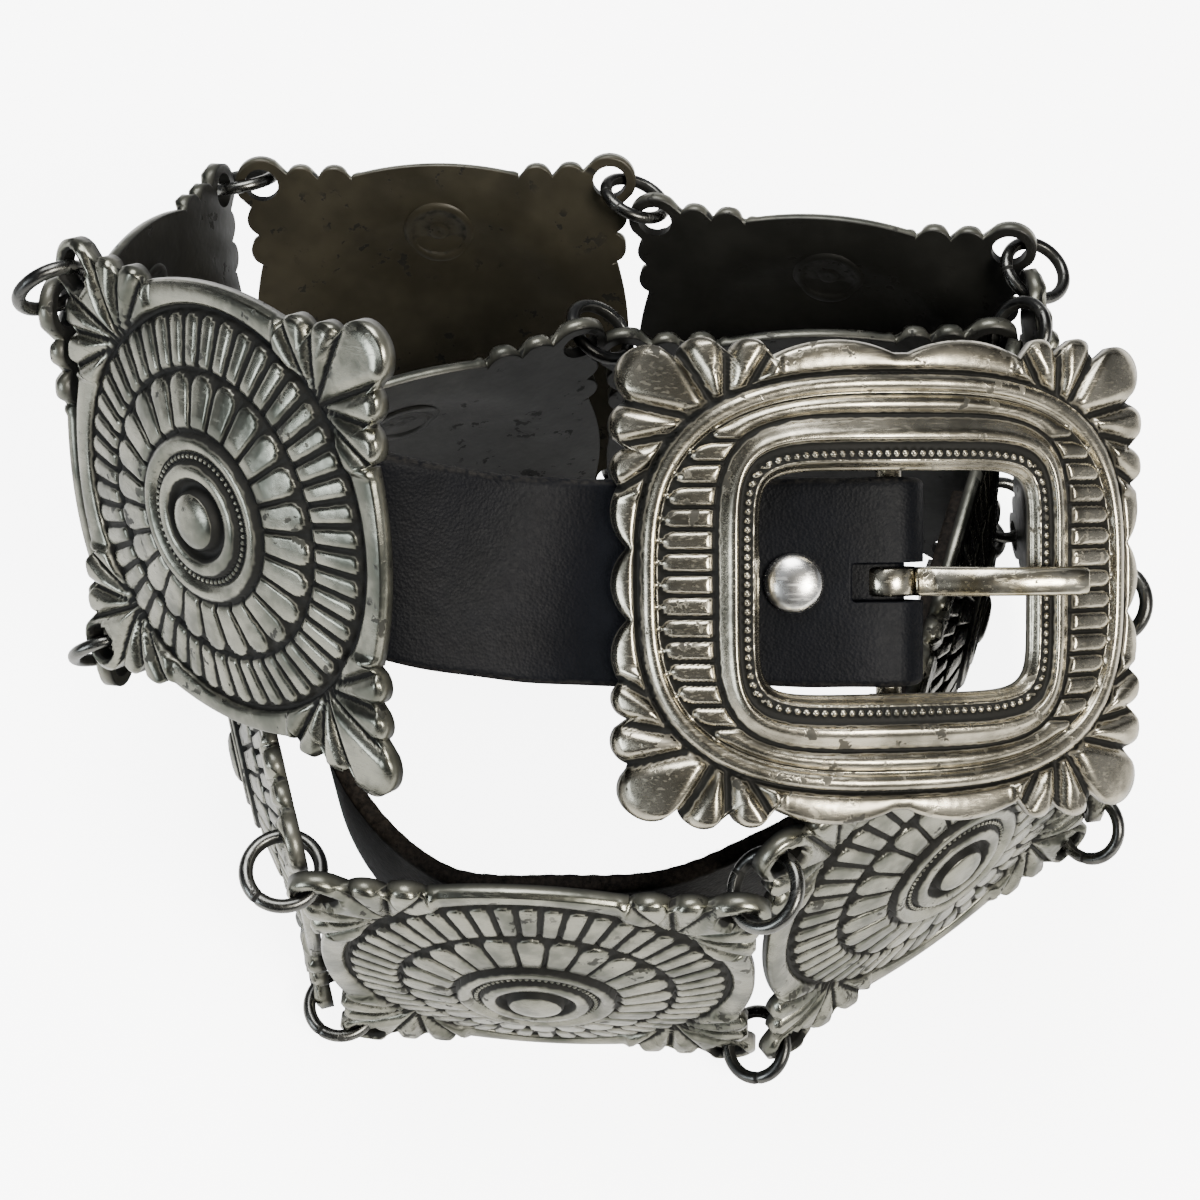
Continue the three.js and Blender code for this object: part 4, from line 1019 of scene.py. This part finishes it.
ring_base = make_ring()
for i in range(1, 11):
    for row in ("top", "low"):
        node = f"ring_{i:02d}_{row}"
        item = bpy.data.objects.new(f"{node}_wire", ring_base.data)
        bpy.context.scene.collection.objects.link(item)
        item.matrix_world = ring_frame(node)
        dress(item, wire)
        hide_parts(node)
bpy.data.objects.remove(ring_base)

buckle_place = buckle_frame_matrix()
casting = make_buckle()
casting.matrix_world = buckle_place
dress(casting, buckle_silver)
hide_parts("buckle_frame")
for piece in make_bar():
    piece.matrix_world = buckle_place
    dress(piece, buckle_silver)
for piece in make_prong():
    piece.matrix_world = buckle_place
    dress(piece, prong_silver, "prong")
    if piece.name == "prong_arm":
        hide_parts("prong")

strap = make_strap(buckle_place, concho_frames["concho_01"])
dress(strap, strap_leather)
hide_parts("buckle_strap")
tail, tail_line = make_tail()
dress(tail, tail_leather)
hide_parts("tail_strap")
fibres = make_fibres(tail_line)
dress(fibres, tail_leather)

stud_post = [(1.4, -6.2), (1.4, 0.3)]
stud_head = [(3.3, 0.3), (3.5, 0.6), (3.25, 1.1), (2.7, 1.5), (1.9, 1.85), (0.9, 2.05), (0.2, 2.1)]
stud = lathe("stud_dome", stud_post + stud_head)
stud_x = -12.0
slope = (strap_top(stud_x + 0.1) - strap_top(stud_x - 0.1)) / 0.2
seat = Matrix.Translation((stud_x * MM, 0, strap_top(stud_x) * MM))
stud.matrix_world = buckle_place @ seat @ Matrix.Rotation(-math.atan(slope), 4, "Y")
dress(stud, rivet_metal)
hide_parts("strap_stud")
for node in ("strap_rivet", "tail_rivet"):
    part = frame["nodes"][node]
    part.data.materials.clear()
    part.data.materials.append(rivet_metal)

# Stage, light and camera
bpy.ops.mesh.primitive_plane_add(size=3, location=(0, 0, 0))
floor = bpy.context.object
floor.name = "floor"
floor.data.materials.append(floor_paper())


MIDDLE = Vector((0, 0, 0.04))


def area_light(name, place, size, power, color=(1, 1, 1)):
    data = bpy.data.lights.new(name, "AREA")
    data.energy = power
    data.size = size
    data.color = color
    lamp = bpy.data.objects.new(name, data)
    lamp.location = place
    lamp.rotation_euler = (MIDDLE - Vector(place)).to_track_quat("-Z", "Y").to_euler()
    bpy.context.scene.collection.objects.link(lamp)


area_light("key", (0.35, -0.45, 0.62), 0.28, 11, (1, 0.95, 0.86))
area_light("left", (-0.6, -0.35, 0.3), 0.3, 3, (0.85, 0.93, 1))
area_light("top", (-0.1, 0.3, 0.8), 0.45, 9)
world = bpy.data.worlds.new("studio")
world.use_nodes = True
links, nodes = world.node_tree.links, world.node_tree.nodes
space = nodes.new("ShaderNodeTexCoord")
spread = nodes.new("ShaderNodeTexNoise")
spread.inputs["Scale"].default_value = 1.6
spread.inputs["Detail"].default_value = 1.0
links.new(space.outputs["Generated"], spread.inputs["Vector"])
brightness = nodes.new("ShaderNodeMapRange")
for key, value in (("From Min", 0.4), ("From Max", 0.62), ("To Min", 0.03), ("To Max", 0.42)):
    brightness.inputs[key].default_value = value
links.new(spread.outputs["Fac"], brightness.inputs["Value"])
links.new(brightness.outputs["Result"], nodes["Background"].inputs[1])
nodes["Background"].inputs[0].default_value = (0.9, 0.93, 1, 1)
bpy.context.scene.world = world

camera_data = bpy.data.cameras.new("camera")
camera_data.lens = 65.14
camera_data.sensor_width = 36
camera = bpy.data.objects.new("camera", camera_data)
elevation = math.radians(61.21)
target = Vector((-0.00088, 0.01944, -0.00559))
forward = Vector((0, math.cos(elevation), -math.sin(elevation)))
camera.location = target - forward * 0.34781
camera.rotation_euler = (math.radians(90) - elevation, 0, 0)
bpy.context.scene.collection.objects.link(camera)
bpy.context.scene.camera = camera
